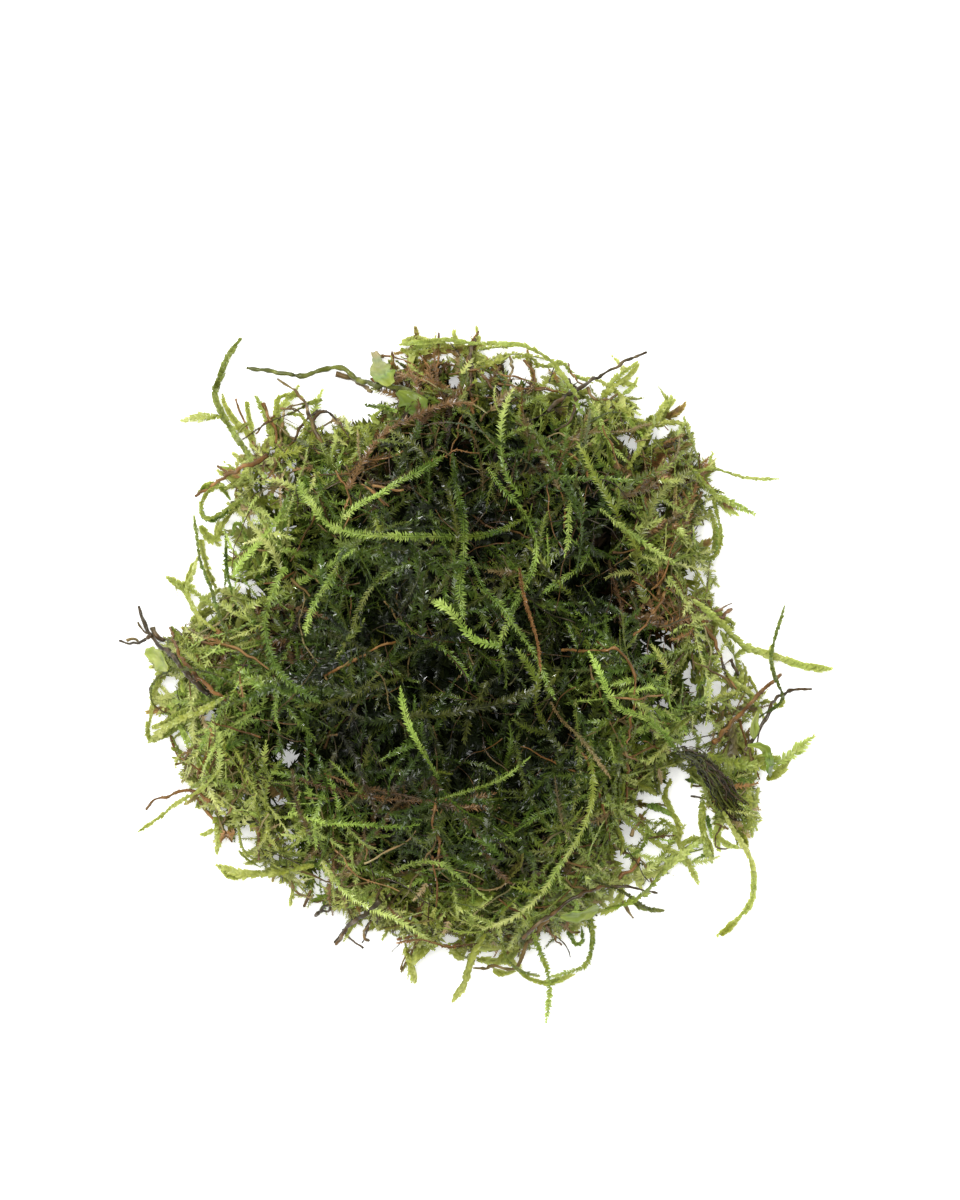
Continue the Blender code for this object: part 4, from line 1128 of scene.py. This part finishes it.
# Fine strands that lie low around the rim, by colour slot: half width and route in plan.
LOW_STRANDS = {
    "moss_green": [
        (0.35, (-35.8, 20.6), (-35.6, 16.6), (-35.9, 13)),
        (0.7, (25, -18.4), (27, -19), (28.8, -20.2)),
        (0.4, (33.8, -20), (34.2, -21.8), (34.4, -23)),
        (0.45, (-39.6, 25), (-39.2, 23.4), (-38, 22.8), (-36.2, 23.6), (-33.6, 25)),
        (0.4, (-35, 20.4), (-34, 22.4), (-32.6, 19.6), (-31.6, 17.4)),
        (0.4, (-35.8, 18.8), (-35.6, 15.6), (-34.8, 12.2)),
        (0.4, (13.6, -36.8), (14.8, -38.6), (15.7, -38.2), (15.6, -36.4)),
        (0.35, (16.6, -35), (17.2, -37.6), (16.8, -40.4)),
        (0.3, (25.2, -21.4), (25, -23.4), (23.6, -25.2), (21.6, -26)),
        (0.35, (34.8, -26), (33.2, -25.8), (31.8, -26.6)),
        (0.4, (30.6, -14.8), (34, -15.2), (36.6, -14.6), (40.2, -15.2)),
        (0.45, (31.6, 20.4), (32.6, 17.6), (34.4, 17.2), (35.2, 19), (35.2, 22)),
        (0.5, (-15.6, 39.2), (-13.4, 39), (-11.2, 38.4)),
    ],
    "moss_pale": [
        (0.7, (-39.6, 20), (-39, 17.6), (-38.3, 15.2), (-37.3, 13)),
        (0.6, (-40, 26.6), (-38.6, 27.8), (-36.6, 27.6), (-35.4, 26)),
        (0.5, (-37, -27.2), (-35.4, -28.8), (-33, -28.8)),
        (0.35, (-34, -25), (-32.6, -26.4), (-31, -27.4)),
        (0.55, (34.2, 24.4), (34.8, 21.6), (34.6, 18.6), (33.6, 17.6)),
        (0.65, (35.2, -22.8), (36.4, -24), (38, -24.6)),
        (0.7, (42.4, -14.8), (44.2, -13.6), (45.6, -12.2)),
        (0.4, (43.2, -3.4), (44.4, -4.3), (44.9, -3)),
        (0.3, (39.8, 0.2), (40.8, -1.8), (41.6, -3)), (0.35, (43.2, 4.6), (43, 2.8), (43.5, 0.4)),
        (0.7, (35.8, -37.4), (36.8, -36.5), (38.2, -35.2)),
        (0.5, (6.4, -42.4), (8.6, -43.9), (11, -44.2), (14.4, -43.1)),
        (0.65, (-35.4, 38), (-34, 36.6), (-32.6, 35.2), (-32, 33.6)),
        (0.35, (-27, 38.2), (-25, 37.8), (-24.2, 36.2), (-25.2, 34.8)),
        (0.5, (0.8, 47.4), (3, 47.8), (5.6, 47.9)),
        (0.45, (21.6, 41), (22.8, 41.8), (23.6, 43.2)),
        (0.5, (-39, 7.5), (-40.6, 10.2), (-41.6, 12.6), (-41.2, 15), (-39.9, 17.4)),
        (0.5, (-41.5, 13.2), (-43, 13.4), (-44.3, 14.2)),
        (0.8, (-39.6, 22), (-38.4, 20.4), (-37, 20.2), (-36.2, 22.4), (-33.6, 25.4)),
        (0.7, (-44.4, 1.6), (-46, -1.4), (-46.6, -4.6)),
        (0.6, (-47.3, -6.4), (-46.8, -9), (-44.6, -8), (-42.6, -6.6), (-40, -6)),
        (0.6, (-46.6, -7.4), (-44.4, -6.4), (-42, -5), (-39.6, -4.4)),
        (0.5, (-43.8, 7.4), (-42.8, 5.8), (-40.6, 5.6)),
        (0.9, (-47.6, 3.8), (-45.6, 3.4), (-43.4, 1)),
        (0.7, (-37.2, -20.2), (-37, -22.8), (-37.2, -25.2)),
        (0.5, (-37.4, -22), (-38.6, -22.6), (-39.4, -22.8)),
        (0.35, (-33.8, -22.4), (-33.2, -25), (-31.4, -26.6)),
        (0.8, (-9.8, -38.4), (-9.4, -40.6), (-8.6, -43.8)),
        (0.9, (-5, -38.2), (-7.2, -39.2), (-8.6, -41.2)),
        (0.8, (-3.4, -38.8), (-1.8, -40.6), (-0.6, -40)),
        (0.7, (0.2, -40.6), (2.2, -41), (4.6, -41), (6.4, -39.4)),
        (0.6, (2.8, -42.4), (4, -42.9), (5.6, -42.6)),
        (0.4, (20.6, -21.6), (21.4, -23.6), (21.2, -25.4)),
        (0.6, (28.4, -14.6), (27.6, -17), (28.6, -19.4), (29.6, -21.6), (29.8, -24)),
        (0.45, (26.8, -20.4), (28.6, -21.6), (29.8, -24.4), (31.2, -27.2), (32.4, -29.8)),
        (0.65, (33.4, -18.6), (33, -21), (33.6, -23.2), (34.6, -25.6)),
        (0.6, (29.6, -24.6), (31.4, -23.6), (33.6, -23.4)),
        (0.45, (39.6, -15), (39.9, -18), (40.2, -20.4), (41, -22)),
        (0.55, (38.4, -22.8), (39.6, -21.6), (41.4, -20.8)),
        (0.6, (36, 1.2), (37.4, -0.6), (39.4, -1.8), (41, -3.2)),
        (0.55, (37.6, -3.2), (38.6, 0.2), (38, 2.4)),
        (0.5, (38.8, -1.6), (39.4, 0.6), (38.8, 2.2)), (0.6, (36, 8.4), (37.2, 7.8), (36.4, 6)),
        (0.4, (35.6, 6.6), (36.4, 5), (37.2, 3.8)),
        (0.35, (30.8, 20.6), (31.4, 17.4), (32.2, 15.2), (33.4, 13)),
        (0.4, (16, 43), (17.6, 43.2), (20, 41.6), (23.8, 38.8)),
        (0.6, (18.6, 40.4), (20.8, 42.4), (22.4, 43.6), (23.8, 45.2)),
        (0.6, (20.6, 42.8), (22.8, 42.4), (23.4, 42.2)),
        (0.45, (25.8, 36.2), (27.2, 38.4), (28.6, 40.2)),
        (0.6, (23.4, 37.2), (26, 36.4), (28.4, 36.8), (31, 36.6)),
        (0.45, (10.6, 44.8), (12.6, 45.6), (14.6, 43.6), (17, 42.6)),
        (0.4, (5.6, 46.2), (8.2, 46.4), (9.6, 45), (13.2, 45.4)),
        (0.35, (1.2, 45.8), (3.4, 45.4), (5.2, 46.6)),
        (0.6, (-10.6, 47.6), (-8.6, 46.8), (-5.4, 47.4), (-1, 47.8)),
        (0.8, (-10.4, 48.4), (-8.4, 49), (-5.6, 48.4)),
        (0.45, (-33, 40), (-32.4, 37), (-31.6, 34)),
        (0.4, (-28.6, 38.4), (-28.2, 40.4), (-25.8, 40.8), (-24.4, 40)),
        (0.4, (-22, 40.2), (-24.2, 39.4), (-25.6, 38.6)),
        (0.6, (-13.6, 36.6), (-14.4, 37.4), (-13, 38.6)), (0.5, (-34.6, 30), (-36.4, 30.4)),
        (0.6, (-33.4, 31.2), (-34.6, 32.2)),
    ],
    "moss_olive": [
        (0.5, (22.4, -32), (24.6, -33.4), (27.2, -33.8)),
    ],
    "stem_rust": [
        (0.22, (-44.2, -8.2), (-43.2, -10.8), (-41.4, -12.3)),
        (0.3, (-39.8, -14.6), (-38.8, -11.6), (-37.4, -7.6)),
        (0.3, (-40.2, -17.4), (-38.4, -19.8), (-36.6, -21.6), (-34.8, -23.8)),
        (0.3, (-31, -21.6), (-31, -24), (-31.2, -26.4)),
        (0.3, (-11, -38), (-8, -37.4), (-5, -38.4), (-1.8, -38.6)),
        (0.26, (10.2, -35.6), (11.4, -37.4), (12.6, -39)),
        (0.42, (19.8, -29.6), (22.2, -28.4), (24.2, -26)),
        (0.26, (38.4, -6.4), (39.4, -9.4), (40.6, -12.4), (41.4, -14.8)),
        (0.34, (33, 8.2), (35, 4.6), (36.6, 0.4), (37.8, -1.6)),
        (0.36, (37.4, 10), (35.6, 8.8), (32.8, 8.2)),
        (0.3, (31.2, 30), (32.6, 29.6), (34, 27.8), (34.8, 26.6)),
        (0.26, (-11.8, 47.2), (-11.8, 44.4), (-10.6, 41.8)),
        (0.26, (-14.8, 43.2), (-12, 41.8), (-10.4, 39.8)),
        (0.2, (-13.2, 46.6), (-10.4, 46.2), (-8, 44.6)),
        (0.24, (-10, 44.6), (-7.4, 43.6), (-5, 41.8), (-2, 41.4)),
        (0.2, (-3.6, 43.6), (0.6, 44.4), (5, 43.4), (9, 42.4)),
        (0.22, (3.2, 42.4), (7, 41.6), (11, 41.4), (15, 40.6)),
        (0.2, (-8, 47), (-6.4, 45), (-6.2, 42)), (0.2, (6.8, 45.8), (8.6, 44.2), (8.8, 42.2)),
        (0.2, (13.4, 45.4), (14.6, 43.6), (16, 42)),
        (0.4, (-30.4, 39.6), (-30, 38.2), (-29, 36.4), (-28.6, 34)),
        (0.24, (-28.8, 38), (-30.6, 36.4), (-31.6, 35.4)),
    ],
    "stem_tan": [
        (0.3, (-50.2, 5.5), (-49.2, 5.8), (-48.4, 5.1)),
        (0.26, (-48.6, 8), (-48.2, 6.8), (-47.2, 6.4)),
        (0.5, (-20, 43.9), (-17.6, 43.4), (-16, 42.2), (-14.6, 41.2)),
        (0.3, (-26.8, -29.4), (-24.8, -31.6), (-23, -31.4)),
        (0.28, (-15, -38.4), (-16, -37.4), (-15, -35.4)),
        (0.2, (-10.4, -42.4), (-9.8, -40.4), (-8.2, -38.2)),
        (0.3, (12.2, -35.4), (14, -36.6), (15.4, -36.8)),
        (0.34, (21.4, -32.2), (22.2, -33.8), (23, -35)),
        (0.34, (22.6, -22.6), (24, -21), (24.8, -20.2)),
        (0.3, (33, 27), (32.4, 24.6), (33.4, 22.2)),
        (0.3, (16.4, 41.6), (17.8, 40.2), (19.6, 40.2), (21, 41.4)),
        (0.3, (5.4, 46.4), (5.4, 44.4), (5, 42.4)),
        (0.34, (-13, 46.6), (-14.2, 46.2), (-15, 44.8)),
        (0.22, (-28.2, 38.8), (-26, 38.8), (-24.6, 38.2)),
        (0.24, (-26, 34.4), (-27.6, 35.8), (-28.6, 36.6)),
    ],
    "stem_dark": [
        (0.5, (-46.4, 7.2), (-46, 6), (-44.8, 5.5)), (0.3, (35, 4.4), (35.8, 2.4), (36.2, 0.6)),
        (0.3, (37.2, 2.8), (37.8, 1.4), (38.2, 0.2)),
        (0.2, (-42.8, 1), (-45, 0.3), (-46.9, -2), (-46, -4.2), (-43.4, -5.6)),
        (0.34, (-23, -34.6), (-21.4, -33.2), (-19.6, -32.8)),
        (0.3, (-20.2, -38.6), (-18.6, -36.4), (-17, -34.6)),
        (0.26, (-18.8, -36.4), (-17.4, -38), (-16.2, -39.2)),
        (0.14, (11.8, -37.4), (13.2, -38.8), (13.9, -40.6)),
        (0.2, (31.6, -15.9), (33.2, -15.6), (35, -16.2)),
        (0.2, (31.3, -17.4), (33.6, -17.8), (36, -18.8)),
        (0.16, (36, -21.4), (35, -23), (35.4, -24.8), (38, -24.6), (40, -25)),
        (0.16, (44, -4.2), (42.4, -6), (41.2, -9), (40.6, -11.6)),
        (0.14, (33.4, 9.4), (33.7, 13), (34.1, 17)),
        (0.34, (0.8, 44.2), (2.4, 42.2), (3.8, 40.4)),
        (0.34, (0.1, 49.4), (-0.4, 46.6), (-0.4, 43.4), (-0.6, 40.6)),
        (0.22, (13.6, 43.2), (14.6, 42.2), (15.6, 41.6)),
        (0.34, (14.6, 41), (14.4, 38.4), (13.6, 36.6), (11.6, 35.6)),
        (0.26, (6, 40.6), (9, 41.4), (12, 41.2), (14.6, 40.4)),
        (0.28, (-23.2, 34.8), (-22.8, 37.6), (-21, 38.4), (-19.6, 36.6)),
    ],
}


def over_tangle(route, lift, least):
    """Heights for a route in plan that follows the tangle."""
    plan = curve_through([(x, y, 0) for x, y in route], 1.0)
    height = surface.sample(surface.height, plan[:, 0], plan[:, 1]) + lift
    plan[:, 2] = smooth_row(np.maximum(height, least)[None], 4)[0]
    return plan


def low_strand(growth, chance, route, slot, half):
    """The detailed strand along one of the fine strands around the rim."""
    hue, tone = LOOKS[slot]
    path = over_tangle(route, 0.3, 0.9)
    if slot.startswith("stem"):
        twig(growth, chance, path, 0.75 * half, tone, hue, 0.5, knot=0.2)
        return
    tone = tone + chance.normal(0, 0.05)
    if slot == "moss_pale":
        hue = PALE - abs(chance.normal(0, 0.05))
    frond(growth, chance, path, tone, hue, 0.35 + 0.9 * half, 0.25 + 0.6 * half, 0.5, 0.30,
          density=0.8, slim_root=0.8)


def fused_shoot(growth, chance, route, slot, at_rim):
    """The detailed strand along a shoot that is fused to the tangle's rim or its top."""
    hue, tone = LOOKS[slot]
    path = over_tangle(route, -0.4 if at_rim else 0.6, 1.0)
    if slot == "stem_dark" and not at_rim:
        frond(growth, chance, path, 0.50, BARK + 0.06, *FINE_FROND)
    elif slot.startswith("stem"):
        twig(growth, chance, path, 0.20, tone, hue, 0.7, bristle=2.0)
    elif at_rim:
        frond(growth, chance, path, tone + 0.02, PALE - 0.06, 0.85, 0.46, 0.75, 0.34)
    else:
        frond(growth, chance, path, tone, hue, *FINE_FROND)


# --- loose stems --------------------------------------------------------------------------

# Loose bare stems of each colour slot. Their radius, tone and depth lie between two values,
# and their hue is one of those given.
LOOSE_STEMS = {
    "stem_rust": [
        dict(count=24, radius=(0.10, 0.20), hues=[RUST + 0.03, RUST + 0.06, TAN],
             tone=(0.2, 0.5), stations=30, depth=(-1.0, 1.5), scales=0.9),
        dict(count=90, radius=(0.09, 0.22), hues=[RUST, RUST + 0.05, TAN], tone=(0.3, 0.7),
             stations=24, depth=(-1.2, 1.0), scales=0.6, insets=(0.0, 15.0))],
    "stem_tan": [
        dict(count=36, radius=(0.07, 0.15), hues=[TAN, TAN + 0.06], tone=(0.2, 0.55),
             stations=30, depth=(-1.0, 1.5), scales=0.5),
        dict(count=60, radius=(0.09, 0.20), hues=[TAN, TAN + 0.06], tone=(0.3, 0.7),
             stations=22, depth=(-1.2, 1.0), scales=0.6, insets=(0.0, 15.0))],
    "stem_dark": [
        dict(count=260, radius=(0.05, 0.12), hues=[BARK, BARK + 0.08], tone=(0.2, 0.6),
             stations=26, depth=(-1.2, 1.8), sides=3)],
}


# Distance between the stations of a loose stem in mm. One with no more stations than the
# second number is left out.
STEM_STEP, FEWEST_STEM_STATIONS = 0.6, 4


def bare_stems(growth, chance, count, radius, hues, tone, stations, depth, sides=4,
               scales=0.0, insets=(0.0, 99.0)):
    """Thin bare stems strewn over and through the clump."""
    starts = scattered(chance, count, insets, 0.6)
    places, kept = wander(chance, starts, chance.uniform(0, math.tau, count), stations,
                          STEM_STEP, chance.uniform(*depth, count), sway=0.18, lift=1.5,
                          overshoot=2.5)
    places = places + kinks(chance, count, stations, 3)
    length = chance.uniform(0.35, 1, (count, 1)) * stations
    kept = kept & (np.arange(stations) < length)
    kept &= (kept.sum(axis=1) > FEWEST_STEM_STATIONS)[:, None]
    x, y, z = places[..., 0], places[..., 1], places[..., 2]
    # Stems deep below the crown and in the centre are darkened with painted shade.
    buried_shade = np.clip((surface.sample(surface.crown, x, y) - z) / BURIED_DEPTH, 0, 1)
    centre = np.clip((surface.sample(surface.inset, x, y) - 9) / 12, 0, 1)
    tones = (chance.uniform(*tone, (count, 1)) + rough_row(chance, count, stations, 4, 0.08)
             - 0.25 * buried_shade - 0.10 * centre)
    row = chance.choice(hues, (count, 1)) + rough_row(chance, count, stations, 5, 0.02)
    thick = chance.uniform(*radius, (count, 1)) * (
        1.1 - 0.5 * np.linspace(0, 1, stations)) * (
        1 + rough_row(chance, count, stations, 2, 0.2))
    strands = Strands(places, kept, tones, row)
    tube(growth, strands, thick, sides, 1)
    if scales:
        for side in (1, -1, 0):
            leaves(growth, strands, chance, side, 0.4, 0.2, 0.7, 0.15, scales, 1.6, TOOTH)


# --- finishes -----------------------------------------------------------------------------

class Maths:
    """A socket in a finish's node tree that takes part in expressions."""

    def __init__(self, finish, socket):
        self.finish, self.socket = finish, socket

    def _with(self, operation, first, second):
        return self.finish.node("ShaderNodeMath", {0: first, 1: second}, operation=operation)

    def __add__(self, other):
        return self._with("ADD", self, other)

    def __radd__(self, other):
        return self._with("ADD", other, self)

    def __sub__(self, other):
        return self._with("SUBTRACT", self, other)

    def __rsub__(self, other):
        return self._with("SUBTRACT", other, self)

    def __mul__(self, other):
        return self._with("MULTIPLY", self, other)

    def __rmul__(self, other):
        return self._with("MULTIPLY", other, self)


class Finish:
    """A material whose nodes are added one method at a time."""

    def __init__(self, name):
        self.material = bpy.data.materials.new(name)
        self.material.use_nodes = True
        self.tree = self.material.node_tree
        self.tree.nodes.clear()

    def node(self, kind, values=None, output=0, stops=None, **settings):
        """Adds a node: settings first, then values or links, and gives one of its outputs."""
        made = self.tree.nodes.new(kind)
        for setting, value in settings.items():
            setattr(made, setting, value)
        if stops:
            ramp = made.color_ramp
            while len(ramp.elements) < len(stops):
                ramp.elements.new(0.5)
            for element, (position, colour) in zip(ramp.elements, stops):
                element.position, element.color = position, (*colour, 1)
        for key, value in (values or {}).items():
            socket = made.inputs[key]
            if isinstance(value, Maths):
                self.tree.links.new(value.socket, socket)
            else:
                socket.default_value = value
        return Maths(self, made.outputs[output])

    def mix(self, share, first, second):
        """A colour between two colours."""
        return self.node("ShaderNodeMix", {0: share, 6: first, 7: second}, 2,
                         data_type="RGBA")

    def show(self, shader):
        """Makes a shader the material's surface, and gives the material."""
        output = self.tree.nodes.new("ShaderNodeOutputMaterial")
        self.tree.links.new(shader.socket, output.inputs[0])
        return self.material


# Colours of each hue row when dark, middling and bright.
HUE_ROWS = [
    (BARK, (0.003, 0.002, 0.001), (0.042, 0.032, 0.015), (0.19, 0.15, 0.08)),
    (RUST, (0.009, 0.004, 0.001), (0.130, 0.060, 0.015), (0.40, 0.20, 0.07)),
    (TAN, (0.010, 0.006, 0.003), (0.135, 0.088, 0.028), (0.42, 0.31, 0.15)),
    (WASHED_AND_SHEEN, (0.004, 0.005, 0.003), (0.074, 0.086, 0.034), (0.30, 0.35, 0.15)),
    (OLIVE, (0.003, 0.004, 0.001), (0.096, 0.106, 0.013), (0.40, 0.42, 0.12)),
    (GREEN, (0.002, 0.004, 0.001), (0.060, 0.110, 0.010), (0.38, 0.54, 0.09)),
    (PALE, (0.030, 0.036, 0.008), (0.270, 0.294, 0.034), (0.58, 0.60, 0.21)),
]


# Mottling of the tone, and the fine noise that varies the roughness and sets where it is wet.
MOTTLE_SCALE, MOTTLE_TONES = 90.0, 0.12
SHINE_SCALE, SHINE_ROUGHNESS, COAT_ROUGHNESS = 260.0, 0.4, 0.08
DRY_BELOW, WET_ABOVE = 0.47, 0.53


def moss_finish(name, glow, glow_share, roughness, glints, gloss):
    """Tone and hue from OFBake, wet glints and, for leaves, light that shines through."""
    finish = Finish(name)
    place = finish.node("ShaderNodeUVMap", uv_map="OFBake")
    tone = finish.node("ShaderNodeSeparateXYZ", {0: place})
    row = Maths(finish, tone.socket.node.outputs[1])
    mottle = finish.node("ShaderNodeTexNoise", {"Vector": place, "Scale": MOTTLE_SCALE,
                                                "Detail": 2.0})
    tone = tone + (mottle - 0.5) * MOTTLE_TONES
    ramps = [finish.node("ShaderNodeValToRGB", {0: row},
                         stops=[(hue[0], hue[column]) for hue in HUE_ROWS])
             for column in (1, 2, 3)]
    lower = finish.node("ShaderNodeMapRange", {0: tone, 1: 0.0, 2: 0.5})
    upper = finish.node("ShaderNodeMapRange", {0: tone, 1: 0.5, 2: 1.0})
    colour = finish.mix(upper, finish.mix(lower, ramps[0], ramps[1]), ramps[2])
    shine = finish.node("ShaderNodeTexNoise", {"Vector": place, "Scale": SHINE_SCALE})
    skin = finish.node("ShaderNodeBsdfPrincipled", {
        "Base Color": colour, "Roughness": roughness + (shine - 0.5) * SHINE_ROUGHNESS,
        "Coat Roughness": COAT_ROUGHNESS, "Specular IOR Level": gloss})
    if glints:
        wet = finish.node("ShaderNodeMapRange",
                          {0: shine, 1: DRY_BELOW, 2: WET_ABOVE, 4: glints})
        finish.tree.links.new(wet.socket, skin.socket.node.inputs["Coat Weight"])
    if glow_share:
        through = finish.node("ShaderNodeBsdfTranslucent", {"Color": (*glow, 1)})
        skin = finish.node("ShaderNodeMixShader", {0: glow_share, 1: skin, 2: through})
    return finish.show(skin)


# Finishes: name, colour and share of the light that shines through, roughness, strength of the
# wet glints, and gloss.
deep_finish = moss_finish("shaded_inner_leaves", (0.02, 0.035, 0.006), 0.15, 0.75, 0.15, 0.05)
middle_finish = moss_finish("shaded_leaves", (0.05, 0.09, 0.01), 0.2, 0.6, 0.45, 0.12)
green_finish = moss_finish("damp_green_leaves", (0.11, 0.18, 0.02), 0.22, 0.5, 0.9, 0.16)
bright_finish = moss_finish("bright_leaf_tips", (0.28, 0.48, 0.04), 0.3, 0.5, 0.5, 0.2)
pale_finish = moss_finish("pale_thin_leaves", (0.48, 0.52, 0.10), 0.4, 0.5, 0.5, 0.2)
leaf_finish = moss_finish("broad_leaf_scraps", (0.30, 0.40, 0.05), 0.12, 0.5, 0.3, 0.2)
olive_finish = moss_finish("olive_leaves", (0.14, 0.16, 0.03), 0.2, 0.5, 0.6, 0.16)
rust_finish = moss_finish("rusty_stems", None, 0, 0.7, 0.4, 0.12)
tan_finish = moss_finish("tan_stems", None, 0, 0.7, 0.4, 0.12)
dark_finish = moss_finish("dark_stems", None, 0, 0.6, 0.6, 0.12)

# --- growing the clump --------------------------------------------------------------------

# Pieces that gather the strands of a colour slot: name, slot and finish.
STRAND_PIECES = [
    ("bright_shoots", "moss_bright", bright_finish),
    ("green_shoots", "moss_green", green_finish),
    ("pale_fronds", "moss_pale", pale_finish),
    ("olive_shoots", "moss_olive", olive_finish),
    ("rust_stems", "stem_rust", rust_finish),
    ("tan_stems", "stem_tan", tan_finish),
    ("dark_twigs", "stem_dark", dark_finish),
]


def grow_tangle(chance):
    """The layers of crossing shoots, from the inside out."""
    # The tone shift of each layer is painted shade: the deeper layers are darker, the upper ones
    # lighter.
    grow_heart(chance, 800, 240, "heart_shoots", deep_finish)
    grow_crown(chance, 460, (4, 10), "inner_shoots", deep_finish, -0.10, stations=44, upper=0,
               length=1.5, pit_thin=0, width=0.7, insets=(7.0, 99.0), step=0.52,
               overshoot=-4.0)
    grow_crown(chance, 520, (1, 4.5), "middle_shoots", middle_finish, -0.02, stations=52,
               upper=0.2, length=0.9, width=0.42, insets=(2.0, 99.0), step=0.44,
               overshoot=0.5)
    grow_crown(chance, 440, (-0.8, 1.4), "upper_shoots", green_finish, 0.03, centre=0.65)
    grow_crown(chance, 240, (-1.3, 0.2), "top_shoots", green_finish, 0.12, stations=78,
               flank=0.6, centre=0.7, taut=60)
    grow_crown(chance, 70, (-1.8, -0.2), "long_shoots", green_finish, 0.10, stations=120,
               flank=0.6, centre=0.9, taut=60, shorten=0.4)
    grow_rim(chance, 560, "rim_shoots", pale_finish)


def grow_single_strands(chance):
    """The leaf scraps, then the shoots, stems and twigs of each colour slot."""
    slots = {name: slot_of(node) for name, node in frame["nodes"].items()
             if name != "moss_tangle"}
    scraps = Growth()
    scrap_names = [name for name in slots if name in SCRAP_WIDTHS]
    for name in scrap_names:
        leaf_scrap(scraps, chance, frame["nodes"][name])
    scraps.piece("leaf_scraps", "moss_pale", leaf_finish, scrap_names)
    for piece_name, slot, finish in STRAND_PIECES:
        growth = Growth()
        names = [name for name in slots if slots[name] == slot and name not in scrap_names]
        for name in names:
            dress = fibre_bundle if name == "fibre_bundle_right" else dress_strand
            dress(growth, chance, frame["nodes"][name])
        for routes, at_rim in ((RIM_SHOOTS, True), (ARCHED_SHOOTS, False)):
            for route in routes.get(slot, []):
                fused_shoot(growth, chance, route, slot, at_rim)
        for half, *route in LOW_STRANDS.get(slot, []):
            low_strand(growth, chance, route, slot, half)
        for looks in LOOSE_STEMS.get(slot, []):
            bare_stems(growth, chance, **looks)
        growth.piece(piece_name, slot, finish, names)


# --- table, light and view ----------------------------------------------------------------

# The view, in mm: the point looked down on, the camera's height and the length that the
# picture's long side spans.
VIEW_CENTRE = (0.9, 11.2)
VIEW_HEIGHT = 1500.0
VIEW_LONG_SIDE = 174.0
SENSOR = 36.0

# The distances in metres between which the camera sees.
SEEN_FROM, SEEN_TO = 0.05, 20

# The table's side in metres and glow, and the light that comes from all around.
TABLE_SIDE = 12.0
TABLE_GLOW = 0.35
ROOM_LIGHT = (1.0, 1.0, 0.98, 1)
ROOM_STRENGTH = 0.45


def pale_table():
    """A broad pale table top under the clump, stage only."""
    bpy.ops.mesh.primitive_plane_add(size=TABLE_SIDE)
    table = bpy.context.object
    table.name = "pale_table"
    finish = Finish("pale_table_top")
    top = finish.node("ShaderNodeBsdfPrincipled", {
        "Base Color": (0.86, 0.86, 0.85, 1), "Roughness": 0.7,
        "Emission Color": ROOM_LIGHT, "Emission Strength": TABLE_GLOW})
    table.data.materials.append(finish.show(top))


def soft_light(name, place, size, power):
    """A square soft box that faces the clump: place and size in metres, power in watts."""
    light = bpy.data.lights.new(name, "AREA")
    light.size, light.energy = size, power
    lamp = bpy.data.objects.new(name, light)
    lamp.location = place
    lamp.rotation_euler = (-Vector(place)).to_track_quat("-Z", "Y").to_euler()
    bpy.context.scene.collection.objects.link(lamp)


def overhead_camera():
    """The camera looks straight down on the clump."""
    lens = bpy.data.cameras.new("overhead_camera")
    lens.sensor_width = SENSOR
    lens.lens = SENSOR * VIEW_HEIGHT / VIEW_LONG_SIDE
    lens.clip_start, lens.clip_end = SEEN_FROM, SEEN_TO
    camera = bpy.data.objects.new("overhead_camera", lens)
    camera.location = (VIEW_CENTRE[0] * MM, VIEW_CENTRE[1] * MM, VIEW_HEIGHT * MM)
    bpy.context.scene.collection.objects.link(camera)
    bpy.context.scene.camera = camera


def pale_room():
    """Even light from all around, shown without a film look."""
    world = bpy.data.worlds.new("pale_room")
    world.use_nodes = True
    background = world.node_tree.nodes["Background"]
    background.inputs["Color"].default_value = ROOM_LIGHT
    background.inputs["Strength"].default_value = ROOM_STRENGTH
    bpy.context.scene.world = world
    bpy.context.scene.view_settings.view_transform = "Standard"


chance = np.random.default_rng(SEED)
grow_tangle(chance)
grow_single_strands(chance)
pale_table()
soft_light("large_soft_box", (-0.25, 0.35, 2.0), size=1.6, power=62.0)
soft_light("small_soft_box", (-0.7, 0.8, 1.1), size=0.25, power=9.0)
overhead_camera()
pale_room()
